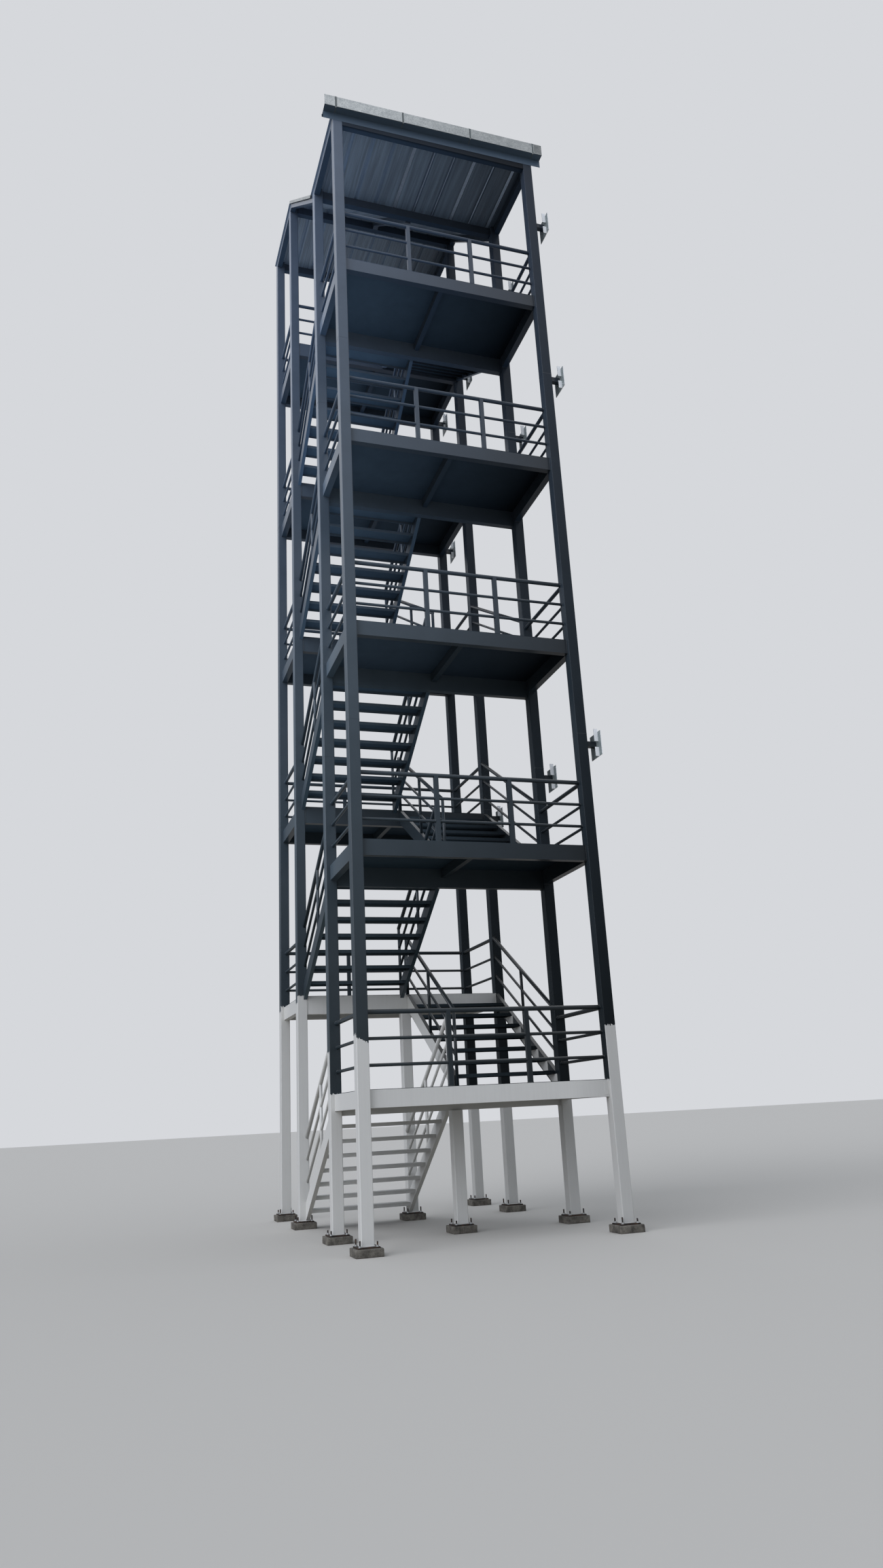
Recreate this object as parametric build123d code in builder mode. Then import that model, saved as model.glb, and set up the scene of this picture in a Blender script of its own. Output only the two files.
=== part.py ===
"""Fire escape stair tower: an open steel frame with ten stair flights under a folded sheet roof.

Millimetres, +Z up. X runs along the front from the left columns to the wall side, Y runs
from the front to the rear. The origin is on the ground, at the centre of the front left footing.
"""

import os
from math import atan, cos

from build123d import *

os.makedirs("parts", exist_ok=True)

# Plan: distances between the column lines
TOWER_WIDTH = 3420
FRONT_BAY = 1610
FLIGHT_BAY = 2400
REAR_BAY = 1625
MIDDLE_X = 1732

# Levels: the deck tops of the front and rear landings
FIRST_LANDING = 1890
STOREY = 3200
STOREYS = 5
RISERS = 8

# Columns and footings
COLUMN = 160
COLUMN_CORNER = 10
FOOTING = 340
FOOTING_HEIGHT = 95
BASE_PLATE = 270
BASE_PLATE_THICKNESS = 16

# Landing frames: rectangular tubes set back from the columns' outer faces
BEAM_WIDTH = 100
EDGE_BEAM_DEPTH = 216
STAIR_BEAM_DEPTH = 284
JOIST_WIDTH = 80
JOIST_DEPTH = 140
DECK_THICKNESS = 6
DECK_CLEARANCE = 2

# Flights
STRINGER_WIDTH = 60
STRINGER_DEPTH = 210
STRINGER_DROP = 10
STRINGER_GAP = 60
TREAD_DEPTH = 300
TREAD_LIP = 50
TREAD_PLATE = 5
LOWEST_RISERS = 9
LOWEST_RISE = 202
LOWEST_GOING = 300

# Railings
TOP_RAIL = 60
MID_RAIL = 42
RAIL_HEIGHTS = (290, 615, 945)
SQUARE_POST = 60
ROUND_POST = 48
LOWEST_RAIL_END = 12

# Roof: two gently falling parts joined by a steep one, and their heights above the highest landings
FRONT_HEADROOM = 3025
REAR_HEADROOM = 3426
ROOF_FALL = 0.056
FRONT_KINK_REACH = 42
REAR_KINK_REACH = 105
ROOF_BEAM_DEPTH = 165
RAFTER_DEPTH = 120
SIDE_OVERHANG = 25
REAR_OVERHANG = 30
SHEET = 1.5
SHEET_RIB_PITCH = 345
SHEET_RIB_HEIGHT = 35
SHEET_RIB_TOP = 40
SHEET_RIB_FOOT = 70

# Gutter: it lies over the front roof beam and falls to the left
GUTTER_REACH = 125
GUTTER_BACK = 120
GUTTER_FRONT_WALL = 217
GUTTER_BACK_WALL = 60
GUTTER_LIP = 15
GUTTER_APRON = 150
GUTTER_CLEARANCE = 4
GUTTER_FALL = 45
GUTTER_END = 165
GUTTER_PLATE = 2

# Wall ties
TIE_STUB = 80
TIE_REACH = 157
TIE_PLATE_WIDTH = 220
TIE_PLATE_HEIGHT = 390
TIE_PLATE_THICKNESS = 10
TIE_CHEEK_REACH = 72
TIE_CHEEK_THICKNESS = 8
TIE_DROP = 66
TIE_STOREYS = (1, 3, 4)

# Column lines and faces that the pieces share
LEFT_X = 0
RIGHT_X = TOWER_WIDTH
LINE_Y = (0, FRONT_BAY, FRONT_BAY + FLIGHT_BAY, FRONT_BAY + FLIGHT_BAY + REAR_BAY)
HALF_COLUMN = COLUMN / 2
INNER_LEFT = LEFT_X + HALF_COLUMN
INNER_RIGHT = RIGHT_X - HALF_COLUMN
FLIGHT_FRONT = LINE_Y[1] + HALF_COLUMN
FLIGHT_REAR = LINE_Y[2] - HALF_COLUMN
COLUMN_FOOT = FOOTING_HEIGHT + BASE_PLATE_THICKNESS
FRONT_LEVELS = [FIRST_LANDING + STOREY * n for n in range(STOREYS)]
REAR_LEVELS = [level + STOREY / 2 for level in FRONT_LEVELS]
FRONT_ROOF = FRONT_LEVELS[-1] + FRONT_HEADROOM
REAR_ROOF = REAR_LEVELS[-1] + REAR_HEADROOM
RISE = STOREY / 2 / RISERS
GOING = (FLIGHT_REAR - FLIGHT_FRONT) / (RISERS - 1)
BEAM_LEFT = INNER_LEFT - BEAM_WIDTH / 2
BEAM_RIGHT = INNER_RIGHT + BEAM_WIDTH / 2
BEAM_FRONT = LINE_Y[0] + HALF_COLUMN - BEAM_WIDTH / 2
BEAM_STAIR_FRONT = FLIGHT_FRONT - BEAM_WIDTH / 2
BEAM_STAIR_REAR = FLIGHT_REAR + BEAM_WIDTH / 2
BEAM_REAR = LINE_Y[3] - HALF_COLUMN + BEAM_WIDTH / 2
OUTER_STRINGER_LEFT = INNER_LEFT - STRINGER_WIDTH / 2
OUTER_STRINGER_RIGHT = INNER_RIGHT + STRINGER_WIDTH / 2
INNER_STRINGER_LEFT = MIDDLE_X - (STRINGER_GAP + STRINGER_WIDTH) / 2
INNER_STRINGER_RIGHT = MIDDLE_X + (STRINGER_GAP + STRINGER_WIDTH) / 2
OUTER_LEFT = LEFT_X - HALF_COLUMN
OUTER_RIGHT = RIGHT_X + HALF_COLUMN
OUTER_FRONT = LINE_Y[0] - HALF_COLUMN
OUTER_REAR = LINE_Y[3] + HALF_COLUMN
KINK_FRONT = FLIGHT_FRONT + FRONT_KINK_REACH
KINK_REAR = FLIGHT_REAR - REAR_KINK_REACH
SLOPE = (REAR_ROOF - FRONT_ROOF) / (KINK_REAR - KINK_FRONT)


def save(builder, name):
    """Labels a finished sub-part and writes it as one STEP file."""
    builder.part.label = name
    export_step(builder.part, f"parts/{name}.step")


def add_beam_x(x_start, x_end, y_centre, z_top, width, depth):
    """Adds a rectangular tube along X to the open part."""
    with BuildSketch(Plane.YZ.offset(x_start)) as section:
        with Locations((y_centre, z_top - depth / 2)):
            Rectangle(width, depth)
    extrude(section.sketch, amount=x_end - x_start)


def add_beam_y(y_start, y_end, x_centre, z_top, width, depth):
    """Adds a rectangular tube along Y to the open part."""
    with BuildSketch(Plane.XZ.offset(-y_start)) as section:
        with Locations((x_centre, z_top - depth / 2)):
            Rectangle(width, depth)
    extrude(section.sketch, amount=y_start - y_end)


def add_post(x_centre, y_centre, z_bottom, z_top, side):
    """Adds a square post to the open part."""
    with BuildSketch(Plane.XY.offset(z_bottom)) as section:
        with Locations((x_centre, y_centre)):
            Rectangle(side, side)
    extrude(section.sketch, amount=z_top - z_bottom)


def add_bar(start, end, diameter):
    """Adds a level round bar between two points to the open part."""
    axis = Plane(origin=start, z_dir=Vector(*end) - Vector(*start))
    with BuildSketch(axis) as section:
        Circle(diameter / 2)
    extrude(section.sketch, amount=(Vector(*end) - Vector(*start)).length)


def add_sloping_bar(x, start, end, diameter):
    """Adds a round bar with plumb ends between two (y, z) points to the open part."""
    along = Vector(0, end[0] - start[0], end[1] - start[1])
    lean = along.Y / along.length
    with BuildSketch(Plane(origin=(x, *start), x_dir=(1, 0, 0), z_dir=(0, 1, 0))) as section:
        Ellipse(diameter / 2, diameter / 2 / lean)
    extrude(section.sketch, amount=along.length, dir=along.normalized())


def add_standing_bar(x, foot, slope, height, diameter):
    """Adds a round post whose foot and head are cut to a slope; foot is its (y, z) place."""
    along = Vector(0, 1, slope)
    seat = Plane(origin=(x, *foot), x_dir=(1, 0, 0), z_dir=Vector(0, -slope, 1))
    with BuildSketch(seat) as section:
        Ellipse(diameter / 2, diameter / 2 * along.length)
    extrude(section.sketch, amount=height, dir=(0, 0, 1))


def roof_height(y):
    """Height of the roof frame's top, which is the underside of the sheet."""
    if y <= KINK_FRONT:
        return FRONT_ROOF + (y - KINK_FRONT) * ROOF_FALL
    if y >= KINK_REAR:
        return REAR_ROOF + (y - KINK_REAR) * ROOF_FALL
    return FRONT_ROOF + (y - KINK_FRONT) * SLOPE


# Columns: four on each side, each as tall as the roof over its front face
COLUMN_NAMES = ("front", "mid_front", "mid_rear", "rear")
for place, y in zip(COLUMN_NAMES, LINE_Y):
    for side, x in (("left", LEFT_X), ("right", RIGHT_X)):
        with BuildPart() as column:
            with BuildSketch(Plane.XY.offset(COLUMN_FOOT)):
                with Locations((x, y)):
                    RectangleRounded(COLUMN, COLUMN, COLUMN_CORNER)
            extrude(amount=roof_height(y - HALF_COLUMN) - COLUMN_FOOT)
        save(column, f"column_{place}_{side}")

# Short posts at the middle, under the first stair beams
with BuildPart() as middle_posts:
    stair_beams = ((LINE_Y[1], FRONT_LEVELS[0]), (LINE_Y[2], REAR_LEVELS[0]))
    for y, level in stair_beams:
        with BuildSketch(Plane.XY.offset(COLUMN_FOOT)):
            with Locations((MIDDLE_X, y)):
                RectangleRounded(COLUMN, COLUMN, COLUMN_CORNER)
        extrude(amount=level - DECK_THICKNESS - STAIR_BEAM_DEPTH - COLUMN_FOOT)
save(middle_posts, "middle_posts")

# Footings and base plates under every column and short post
FEET = [(x, y) for y in LINE_Y for x in (LEFT_X, RIGHT_X)]
FEET += [(MIDDLE_X, LINE_Y[1]), (MIDDLE_X, LINE_Y[2])]
with BuildPart() as footings:
    with BuildSketch(Plane.XY):
        with Locations(*FEET):
            Rectangle(FOOTING, FOOTING)
    extrude(amount=FOOTING_HEIGHT)
save(footings, "footings")

with BuildPart() as base_plates:
    with BuildSketch(Plane.XY.offset(FOOTING_HEIGHT)):
        with Locations(*FEET):
            Rectangle(BASE_PLATE, BASE_PLATE)
    extrude(amount=BASE_PLATE_THICKNESS)
save(base_plates, "base_plates")

# Front landings: edge beams on three sides, a deeper stair beam behind, a middle joist and a deck
with BuildPart() as front_landing_beams:
    for level in FRONT_LEVELS:
        beam_top = level - DECK_THICKNESS
        add_beam_x(INNER_LEFT, INNER_RIGHT, BEAM_FRONT, beam_top, BEAM_WIDTH, EDGE_BEAM_DEPTH)
        add_beam_x(INNER_LEFT, INNER_RIGHT, BEAM_STAIR_FRONT, beam_top, BEAM_WIDTH, STAIR_BEAM_DEPTH)
        for x in (BEAM_LEFT, BEAM_RIGHT):
            add_beam_y(LINE_Y[0] + HALF_COLUMN, LINE_Y[1] - HALF_COLUMN, x, beam_top,
                       BEAM_WIDTH, EDGE_BEAM_DEPTH)
save(front_landing_beams, "front_landing_beams")

with BuildPart() as front_decks:
    for level in FRONT_LEVELS:
        with BuildSketch(Plane.XY.offset(level - DECK_THICKNESS)):
            front_edge = BEAM_FRONT - BEAM_WIDTH / 2
            with Locations(((BEAM_LEFT + BEAM_RIGHT) / 2, (front_edge + FLIGHT_FRONT) / 2)):
                Rectangle(BEAM_RIGHT - BEAM_LEFT + BEAM_WIDTH, FLIGHT_FRONT - front_edge)
            with Locations(*[(x, y) for x in (LEFT_X, RIGHT_X) for y in LINE_Y[:2]]):
                Rectangle(COLUMN + 2 * DECK_CLEARANCE, COLUMN + 2 * DECK_CLEARANCE, mode=Mode.SUBTRACT)
        extrude(amount=DECK_THICKNESS)
save(front_decks, "front_decks")

# Rear landings: the same, with the stair beam in front
with BuildPart() as rear_landing_beams:
    for level in REAR_LEVELS:
        beam_top = level - DECK_THICKNESS
        add_beam_x(INNER_LEFT, INNER_RIGHT, BEAM_REAR, beam_top, BEAM_WIDTH, EDGE_BEAM_DEPTH)
        add_beam_x(INNER_LEFT, INNER_RIGHT, BEAM_STAIR_REAR, beam_top, BEAM_WIDTH, STAIR_BEAM_DEPTH)
        for x in (BEAM_LEFT, BEAM_RIGHT):
            add_beam_y(LINE_Y[2] + HALF_COLUMN, LINE_Y[3] - HALF_COLUMN, x, beam_top,
                       BEAM_WIDTH, EDGE_BEAM_DEPTH)
save(rear_landing_beams, "rear_landing_beams")

# One joist under the middle of each deck, between the front and rear beams of its landing
with BuildPart() as landing_joists:
    for level in FRONT_LEVELS:
        add_beam_y(BEAM_FRONT + BEAM_WIDTH / 2, BEAM_STAIR_FRONT - BEAM_WIDTH / 2, MIDDLE_X,
                   level - DECK_THICKNESS, JOIST_WIDTH, JOIST_DEPTH)
    for level in REAR_LEVELS:
        add_beam_y(BEAM_STAIR_REAR + BEAM_WIDTH / 2, BEAM_REAR - BEAM_WIDTH / 2, MIDDLE_X,
                   level - DECK_THICKNESS, JOIST_WIDTH, JOIST_DEPTH)
save(landing_joists, "landing_joists")

with BuildPart() as rear_decks:
    for level in REAR_LEVELS:
        with BuildSketch(Plane.XY.offset(level - DECK_THICKNESS)):
            rear_edge = BEAM_REAR + BEAM_WIDTH / 2
            with Locations(((BEAM_LEFT + BEAM_RIGHT) / 2, (FLIGHT_REAR + rear_edge) / 2)):
                Rectangle(BEAM_RIGHT - BEAM_LEFT + BEAM_WIDTH, rear_edge - FLIGHT_REAR)
            with Locations(*[(x, y) for x in (LEFT_X, RIGHT_X) for y in LINE_Y[2:]]):
                Rectangle(COLUMN + 2 * DECK_CLEARANCE, COLUMN + 2 * DECK_CLEARANCE, mode=Mode.SUBTRACT)
        extrude(amount=DECK_THICKNESS)
save(rear_decks, "rear_decks")


def nosing_height(y, flight):
    """Height of the line through a flight's nosings, at a place along Y."""
    if flight["rises_to_front"]:
        return flight["top"] - (y - FLIGHT_FRONT) * flight["rise"] / flight["going"]
    return flight["top"] - (FLIGHT_REAR - y) * flight["rise"] / flight["going"]


def flight_slope(flight):
    """Slope of a flight, as height over run towards the rear."""
    slope = flight["rise"] / flight["going"]
    return -slope if flight["rises_to_front"] else slope


def stringer_profile(flight, bottom_cut):
    """Side view of one stringer, a bar with plumb ends between the two stair beams."""
    depth = STRINGER_DEPTH / cos(atan(flight["rise"] / flight["going"]))
    with BuildSketch(Plane.YZ) as profile:
        with BuildLine():
            top_front = nosing_height(FLIGHT_FRONT, flight) - STRINGER_DROP
            top_rear = nosing_height(FLIGHT_REAR, flight) - STRINGER_DROP
            Polyline((FLIGHT_FRONT, top_front), (FLIGHT_REAR, top_rear), (FLIGHT_REAR, top_rear - depth),
                     (FLIGHT_FRONT, top_front - depth), close=True)
        make_face()
        if bottom_cut:
            with Locations((FLIGHT_REAR, bottom_cut)):
                Rectangle(FLIGHT_BAY, FOOTING_HEIGHT, align=(Align.CENTER, Align.MAX),
                          mode=Mode.SUBTRACT)
    return profile.sketch


def add_tread(nosing_y, top, x_start, x_end, step):
    """Adds one folded pan tread; step is the way to its back edge along Y, 1 or -1."""
    back_y = nosing_y + step * TREAD_DEPTH
    front_inner = nosing_y + step * TREAD_PLATE
    back_inner = back_y - step * TREAD_PLATE
    with BuildSketch(Plane.YZ.offset(x_start)) as section:
        with BuildLine():
            Polyline((nosing_y, top), (back_y, top), (back_y, top - TREAD_LIP),
                     (back_inner, top - TREAD_LIP), (back_inner, top - TREAD_PLATE),
                     (front_inner, top - TREAD_PLATE), (front_inner, top - TREAD_LIP),
                     (nosing_y, top - TREAD_LIP), close=True)
        make_face()
    extrude(section.sketch, amount=x_end - x_start)


# Flights: the left ones rise to the front landings, the right ones to the rear landings
FLIGHTS = []
for n in range(STOREYS):
    lowest = n == 0
    FLIGHTS.append({
        "name": f"left_flight_{n + 1}",
        "rises_to_front": True,
        "top": FRONT_LEVELS[n],
        "rise": LOWEST_RISE if lowest else RISE,
        "going": LOWEST_GOING if lowest else GOING,
        "treads": LOWEST_RISERS - 1 if lowest else RISERS - 1,
        "stringers": (OUTER_STRINGER_LEFT, INNER_STRINGER_LEFT),
    })
    FLIGHTS.append({
        "name": f"right_flight_{n + 1}",
        "rises_to_front": False,
        "top": REAR_LEVELS[n],
        "rise": RISE,
        "going": GOING,
        "treads": RISERS - 1,
        "stringers": (INNER_STRINGER_RIGHT, OUTER_STRINGER_RIGHT),
    })

for flight in FLIGHTS:
    lowest = flight["name"] == "left_flight_1"
    profile = stringer_profile(flight, COLUMN_FOOT if lowest else 0)
    with BuildPart() as stringers:
        for x in flight["stringers"]:
            extrude(profile.moved(Location((x - STRINGER_WIDTH / 2, 0, 0))), amount=STRINGER_WIDTH)
    save(stringers, f"{flight['name']}_stringers")

    x_start = flight["stringers"][0] + STRINGER_WIDTH / 2
    x_end = flight["stringers"][1] - STRINGER_WIDTH / 2
    step = -1 if flight["rises_to_front"] else 1
    top_edge = FLIGHT_FRONT if flight["rises_to_front"] else FLIGHT_REAR
    with BuildPart() as treads:
        for k in range(1, flight["treads"] + 1):
            nosing_y = top_edge - step * k * flight["going"]
            add_tread(nosing_y, flight["top"] - k * flight["rise"], x_start, x_end, step)
    save(treads, f"{flight['name']}_treads")


def add_level_rails(start, end, level):
    """Adds the three level rails of one landing side to the open part."""
    for height, diameter in zip(RAIL_HEIGHTS, (MID_RAIL, MID_RAIL, TOP_RAIL)):
        z = level + height
        add_bar((*start, z), (*end, z), diameter)


# Railings of the front landings: front panels with two posts, side panels between the columns
with BuildPart() as front_railings:
    for level in FRONT_LEVELS:
        add_level_rails((INNER_LEFT, BEAM_FRONT), (INNER_RIGHT, BEAM_FRONT), level)
        for third in (1, 2):
            x = INNER_LEFT + (INNER_RIGHT - INNER_LEFT) * third / 3
            add_post(x, BEAM_FRONT, level, level + RAIL_HEIGHTS[-1], SQUARE_POST)
save(front_railings, "front_railings")

with BuildPart() as rear_railings:
    for level in REAR_LEVELS:
        add_level_rails((INNER_LEFT, BEAM_REAR), (INNER_RIGHT, BEAM_REAR), level)
        for third in (1, 2):
            x = INNER_LEFT + (INNER_RIGHT - INNER_LEFT) * third / 3
            add_post(x, BEAM_REAR, level, level + RAIL_HEIGHTS[-1], SQUARE_POST)
save(rear_railings, "rear_railings")

for side, x in (("left", BEAM_LEFT), ("right", BEAM_RIGHT)):
    with BuildPart() as side_railings:
        bays = [(level, LINE_Y[0], LINE_Y[1]) for level in FRONT_LEVELS]
        bays += [(level, LINE_Y[2], LINE_Y[3]) for level in REAR_LEVELS]
        for level, y_start, y_end in bays:
            add_level_rails((x, y_start + HALF_COLUMN), (x, y_end - HALF_COLUMN), level)
    save(side_railings, f"{side}_side_railings")


def add_flight_rails(flight, x, y_front, y_rear, end_posts):
    """Adds the sloping rails of one stringer, a middle post on it and its end posts, as (y, foot)."""
    for height, diameter in zip(RAIL_HEIGHTS, (MID_RAIL, MID_RAIL, TOP_RAIL)):
        start = (y_front, nosing_height(y_front, flight) + height)
        end = (y_rear, nosing_height(y_rear, flight) + height)
        add_sloping_bar(x, start, end, diameter)
    middle = (FLIGHT_FRONT + FLIGHT_REAR) / 2
    seat = nosing_height(middle, flight) - STRINGER_DROP
    add_standing_bar(x, (middle, seat), flight_slope(flight), RAIL_HEIGHTS[-1] + STRINGER_DROP, ROUND_POST)
    for y, foot in end_posts:
        height = nosing_height(y, flight) + RAIL_HEIGHTS[-1] - foot
        add_standing_bar(x, (y, foot), 0, height, ROUND_POST)


for group, index in (("outer", 0), ("inner", 1)):
    for side in ("left", "right"):
        with BuildPart() as flight_railings:
            for flight in FLIGHTS:
                if not flight["name"].startswith(side):
                    continue
                outer, inner = flight["stringers"] if side == "left" else reversed(flight["stringers"])
                x = inner if index else outer
                posts = []
                y_front, y_rear = FLIGHT_FRONT, FLIGHT_REAR
                if flight["name"] == "left_flight_1":
                    y_rear = FLIGHT_REAR - LOWEST_RAIL_END
                if index:
                    front_level = flight["top"] if side == "left" else flight["top"] - STOREY / 2
                    rear_level = flight["top"] - STOREY / 2 if side == "left" else flight["top"]
                    y_front = BEAM_STAIR_FRONT
                    posts.append((y_front, front_level))
                    if flight["name"] != "left_flight_1":
                        y_rear = BEAM_STAIR_REAR
                        posts.append((y_rear, rear_level))
                add_flight_rails(flight, x, y_front, y_rear, posts)
        save(flight_railings, f"{side}_flight_{group}_railings")

# Guard on the open half of the top rear landing
with BuildPart() as top_guard:
    add_level_rails((INNER_LEFT, BEAM_STAIR_REAR), (INNER_STRINGER_LEFT, BEAM_STAIR_REAR), REAR_LEVELS[-1])
    add_post(INNER_STRINGER_LEFT, BEAM_STAIR_REAR, REAR_LEVELS[-1], REAR_LEVELS[-1] + RAIL_HEIGHTS[-1],
             SQUARE_POST)
save(top_guard, "top_guard")

# Roof frame: beams flush with the outer faces of the columns, and three steep rafters
ROOF_LEFT = OUTER_LEFT + BEAM_WIDTH / 2
ROOF_RIGHT = OUTER_RIGHT - BEAM_WIDTH / 2
with BuildPart() as roof_beams:
    add_beam_x(INNER_LEFT, INNER_RIGHT, OUTER_FRONT + BEAM_WIDTH / 2, roof_height(OUTER_FRONT),
               BEAM_WIDTH, EDGE_BEAM_DEPTH)
    for y in (BEAM_STAIR_FRONT, BEAM_STAIR_REAR, OUTER_REAR - BEAM_WIDTH / 2):
        add_beam_x(INNER_LEFT, INNER_RIGHT, y, roof_height(y - BEAM_WIDTH / 2), BEAM_WIDTH, ROOF_BEAM_DEPTH)
    for y_front, y_rear in (LINE_Y[:2], LINE_Y[2:]):
        start, end = y_front + HALF_COLUMN, y_rear - HALF_COLUMN
        for x in (ROOF_LEFT, ROOF_RIGHT):
            with BuildSketch(Plane.YZ.offset(x - BEAM_WIDTH / 2)) as section:
                with BuildLine():
                    Polyline((start, roof_height(start)), (end, roof_height(end)),
                             (end, roof_height(end) - ROOF_BEAM_DEPTH),
                             (start, roof_height(start) - ROOF_BEAM_DEPTH), close=True)
                make_face()
            extrude(section.sketch, amount=BEAM_WIDTH)
save(roof_beams, "roof_beams")

with BuildPart() as roof_rafters:
    plumb_depth = RAFTER_DEPTH / cos(atan(SLOPE))
    bend = KINK_REAR + (plumb_depth - ROOF_BEAM_DEPTH) / (SLOPE - ROOF_FALL)
    bend_height = REAR_ROOF + (bend - KINK_REAR) * ROOF_FALL - ROOF_BEAM_DEPTH
    foot_height = FRONT_ROOF + (FLIGHT_FRONT - KINK_FRONT) * SLOPE - plumb_depth
    for x in (ROOF_LEFT, MIDDLE_X, ROOF_RIGHT):
        with BuildSketch(Plane.YZ.offset(x - BEAM_WIDTH / 2)):
            with BuildLine():
                Polyline((FLIGHT_FRONT, roof_height(FLIGHT_FRONT)), (KINK_FRONT, FRONT_ROOF),
                         (KINK_REAR, REAR_ROOF), (FLIGHT_REAR, roof_height(FLIGHT_REAR)),
                         (FLIGHT_REAR, roof_height(FLIGHT_REAR) - ROOF_BEAM_DEPTH),
                         (bend, bend_height), (FLIGHT_FRONT, foot_height), close=True)
            make_face()
        extrude(amount=BEAM_WIDTH)
save(roof_rafters, "roof_rafters")


def sheet_profile(y):
    """Cross-section of the ribbed roof sheet, in the plane across Y where it starts."""
    height = roof_height(y)
    left = OUTER_LEFT - SIDE_OVERHANG
    right = OUTER_RIGHT + SIDE_OVERHANG
    count = int((right - left - SHEET_RIB_FOOT) // SHEET_RIB_PITCH)
    first = (left + right) / 2 - SHEET_RIB_PITCH * (count - 1) / 2
    upper = [(left, SHEET)]
    lower = [(left, 0)]
    for k in range(count):
        centre = first + SHEET_RIB_PITCH * k
        foot, crown = SHEET_RIB_FOOT / 2, SHEET_RIB_TOP / 2
        for x, z in ((-foot, 0), (-crown, SHEET_RIB_HEIGHT), (crown, SHEET_RIB_HEIGHT), (foot, 0)):
            upper.append((centre + x, z + SHEET))
            lower.append((centre + x, z))
    upper.append((right, SHEET))
    lower.append((right, 0))
    with BuildSketch(Plane.XZ.offset(-y)) as profile:
        with BuildLine():
            Polyline(*[(x, z + height) for x, z in upper + lower[::-1]], close=True)
        make_face()
    return profile.sketch


# Roof sheets: one ribbed section runs over the front landing, up the slope and over the rear landing
SHEET_FRONT = OUTER_FRONT + GUTTER_BACK + GUTTER_PLATE
SHEET_REAR = OUTER_REAR + REAR_OVERHANG
SHEETS = (("front_roof_sheet", SHEET_FRONT, KINK_FRONT), ("sloping_roof_sheet", KINK_FRONT, KINK_REAR),
          ("rear_roof_sheet", KINK_REAR, SHEET_REAR))
for name, start, end in SHEETS:
    with BuildPart() as roof_sheet:
        along = Vector(0, end - start, roof_height(end) - roof_height(start))
        extrude(sheet_profile(start), amount=along.length, dir=along.normalized())
    save(roof_sheet, name)

# Gutter: a folded sheet with a high front wall, a low back wall and an apron over the front beam
with BuildPart() as roof_gutter:
    left = OUTER_LEFT - GUTTER_END
    along = Vector(OUTER_RIGHT + GUTTER_END - left, 0, GUTTER_FALL)
    front = OUTER_FRONT - GUTTER_REACH
    back = OUTER_FRONT + GUTTER_BACK
    bottom = roof_height(OUTER_FRONT) + GUTTER_CLEARANCE
    top = bottom + GUTTER_FRONT_WALL
    back_top = bottom + GUTTER_BACK_WALL
    apron_end = bottom - GUTTER_APRON
    plate = GUTTER_PLATE
    with BuildSketch(Plane.YZ.offset(left)) as section:
        with BuildLine():
            Polyline((front, bottom), (front, top), (front + GUTTER_LIP, top),
                     (front + GUTTER_LIP, top - plate), (front + plate, top - plate),
                     (front + plate, bottom + plate), (back - plate, bottom + plate),
                     (back - plate, back_top), (back, back_top), (back, bottom),
                     (OUTER_FRONT, bottom), (OUTER_FRONT, apron_end), (OUTER_FRONT - plate, apron_end),
                     (OUTER_FRONT - plate, bottom), close=True)
        make_face()
    extrude(section.sketch, amount=along.length, dir=along.normalized())
save(roof_gutter, "roof_gutter")

# Wall ties: stubs from the wall-side columns to brackets on the wall
TIE_HEIGHTS = [REAR_LEVELS[n] - TIE_DROP for n in TIE_STOREYS]
TIE_START = RIGHT_X + HALF_COLUMN
with BuildPart() as tie_stubs:
    for z in TIE_HEIGHTS:
        for y in LINE_Y:
            add_beam_x(TIE_START, TIE_START + TIE_REACH, y, z + TIE_STUB / 2, TIE_STUB, TIE_STUB)
save(tie_stubs, "tie_stubs")

# Each bracket is a wall plate with two cheeks that stand out from the wall beside the stub
PLATE_START = TIE_START + TIE_REACH
with BuildPart() as wall_plates:
    for z in TIE_HEIGHTS:
        with BuildSketch(Plane.XY.offset(z - TIE_PLATE_HEIGHT / 2)) as section:
            with Locations(*[(PLATE_START + TIE_PLATE_THICKNESS, y) for y in LINE_Y]):
                Rectangle(TIE_PLATE_THICKNESS, TIE_PLATE_WIDTH, align=(Align.MAX, Align.CENTER))
            for way in (-1, 1):
                cheek_y = way * (TIE_PLATE_WIDTH - TIE_CHEEK_THICKNESS) / 2
                with Locations(*[(PLATE_START, y + cheek_y) for y in LINE_Y]):
                    Rectangle(TIE_CHEEK_REACH, TIE_CHEEK_THICKNESS, align=(Align.MAX, Align.CENTER))
        extrude(section.sketch, amount=TIE_PLATE_HEIGHT)
save(wall_plates, "wall_plates")
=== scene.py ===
"""Looks of the fire escape stair tower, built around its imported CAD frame."""

from math import atan, cos, pi, radians, sin

import bmesh
import bpy
from mathutils import Matrix, Vector, noise


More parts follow.
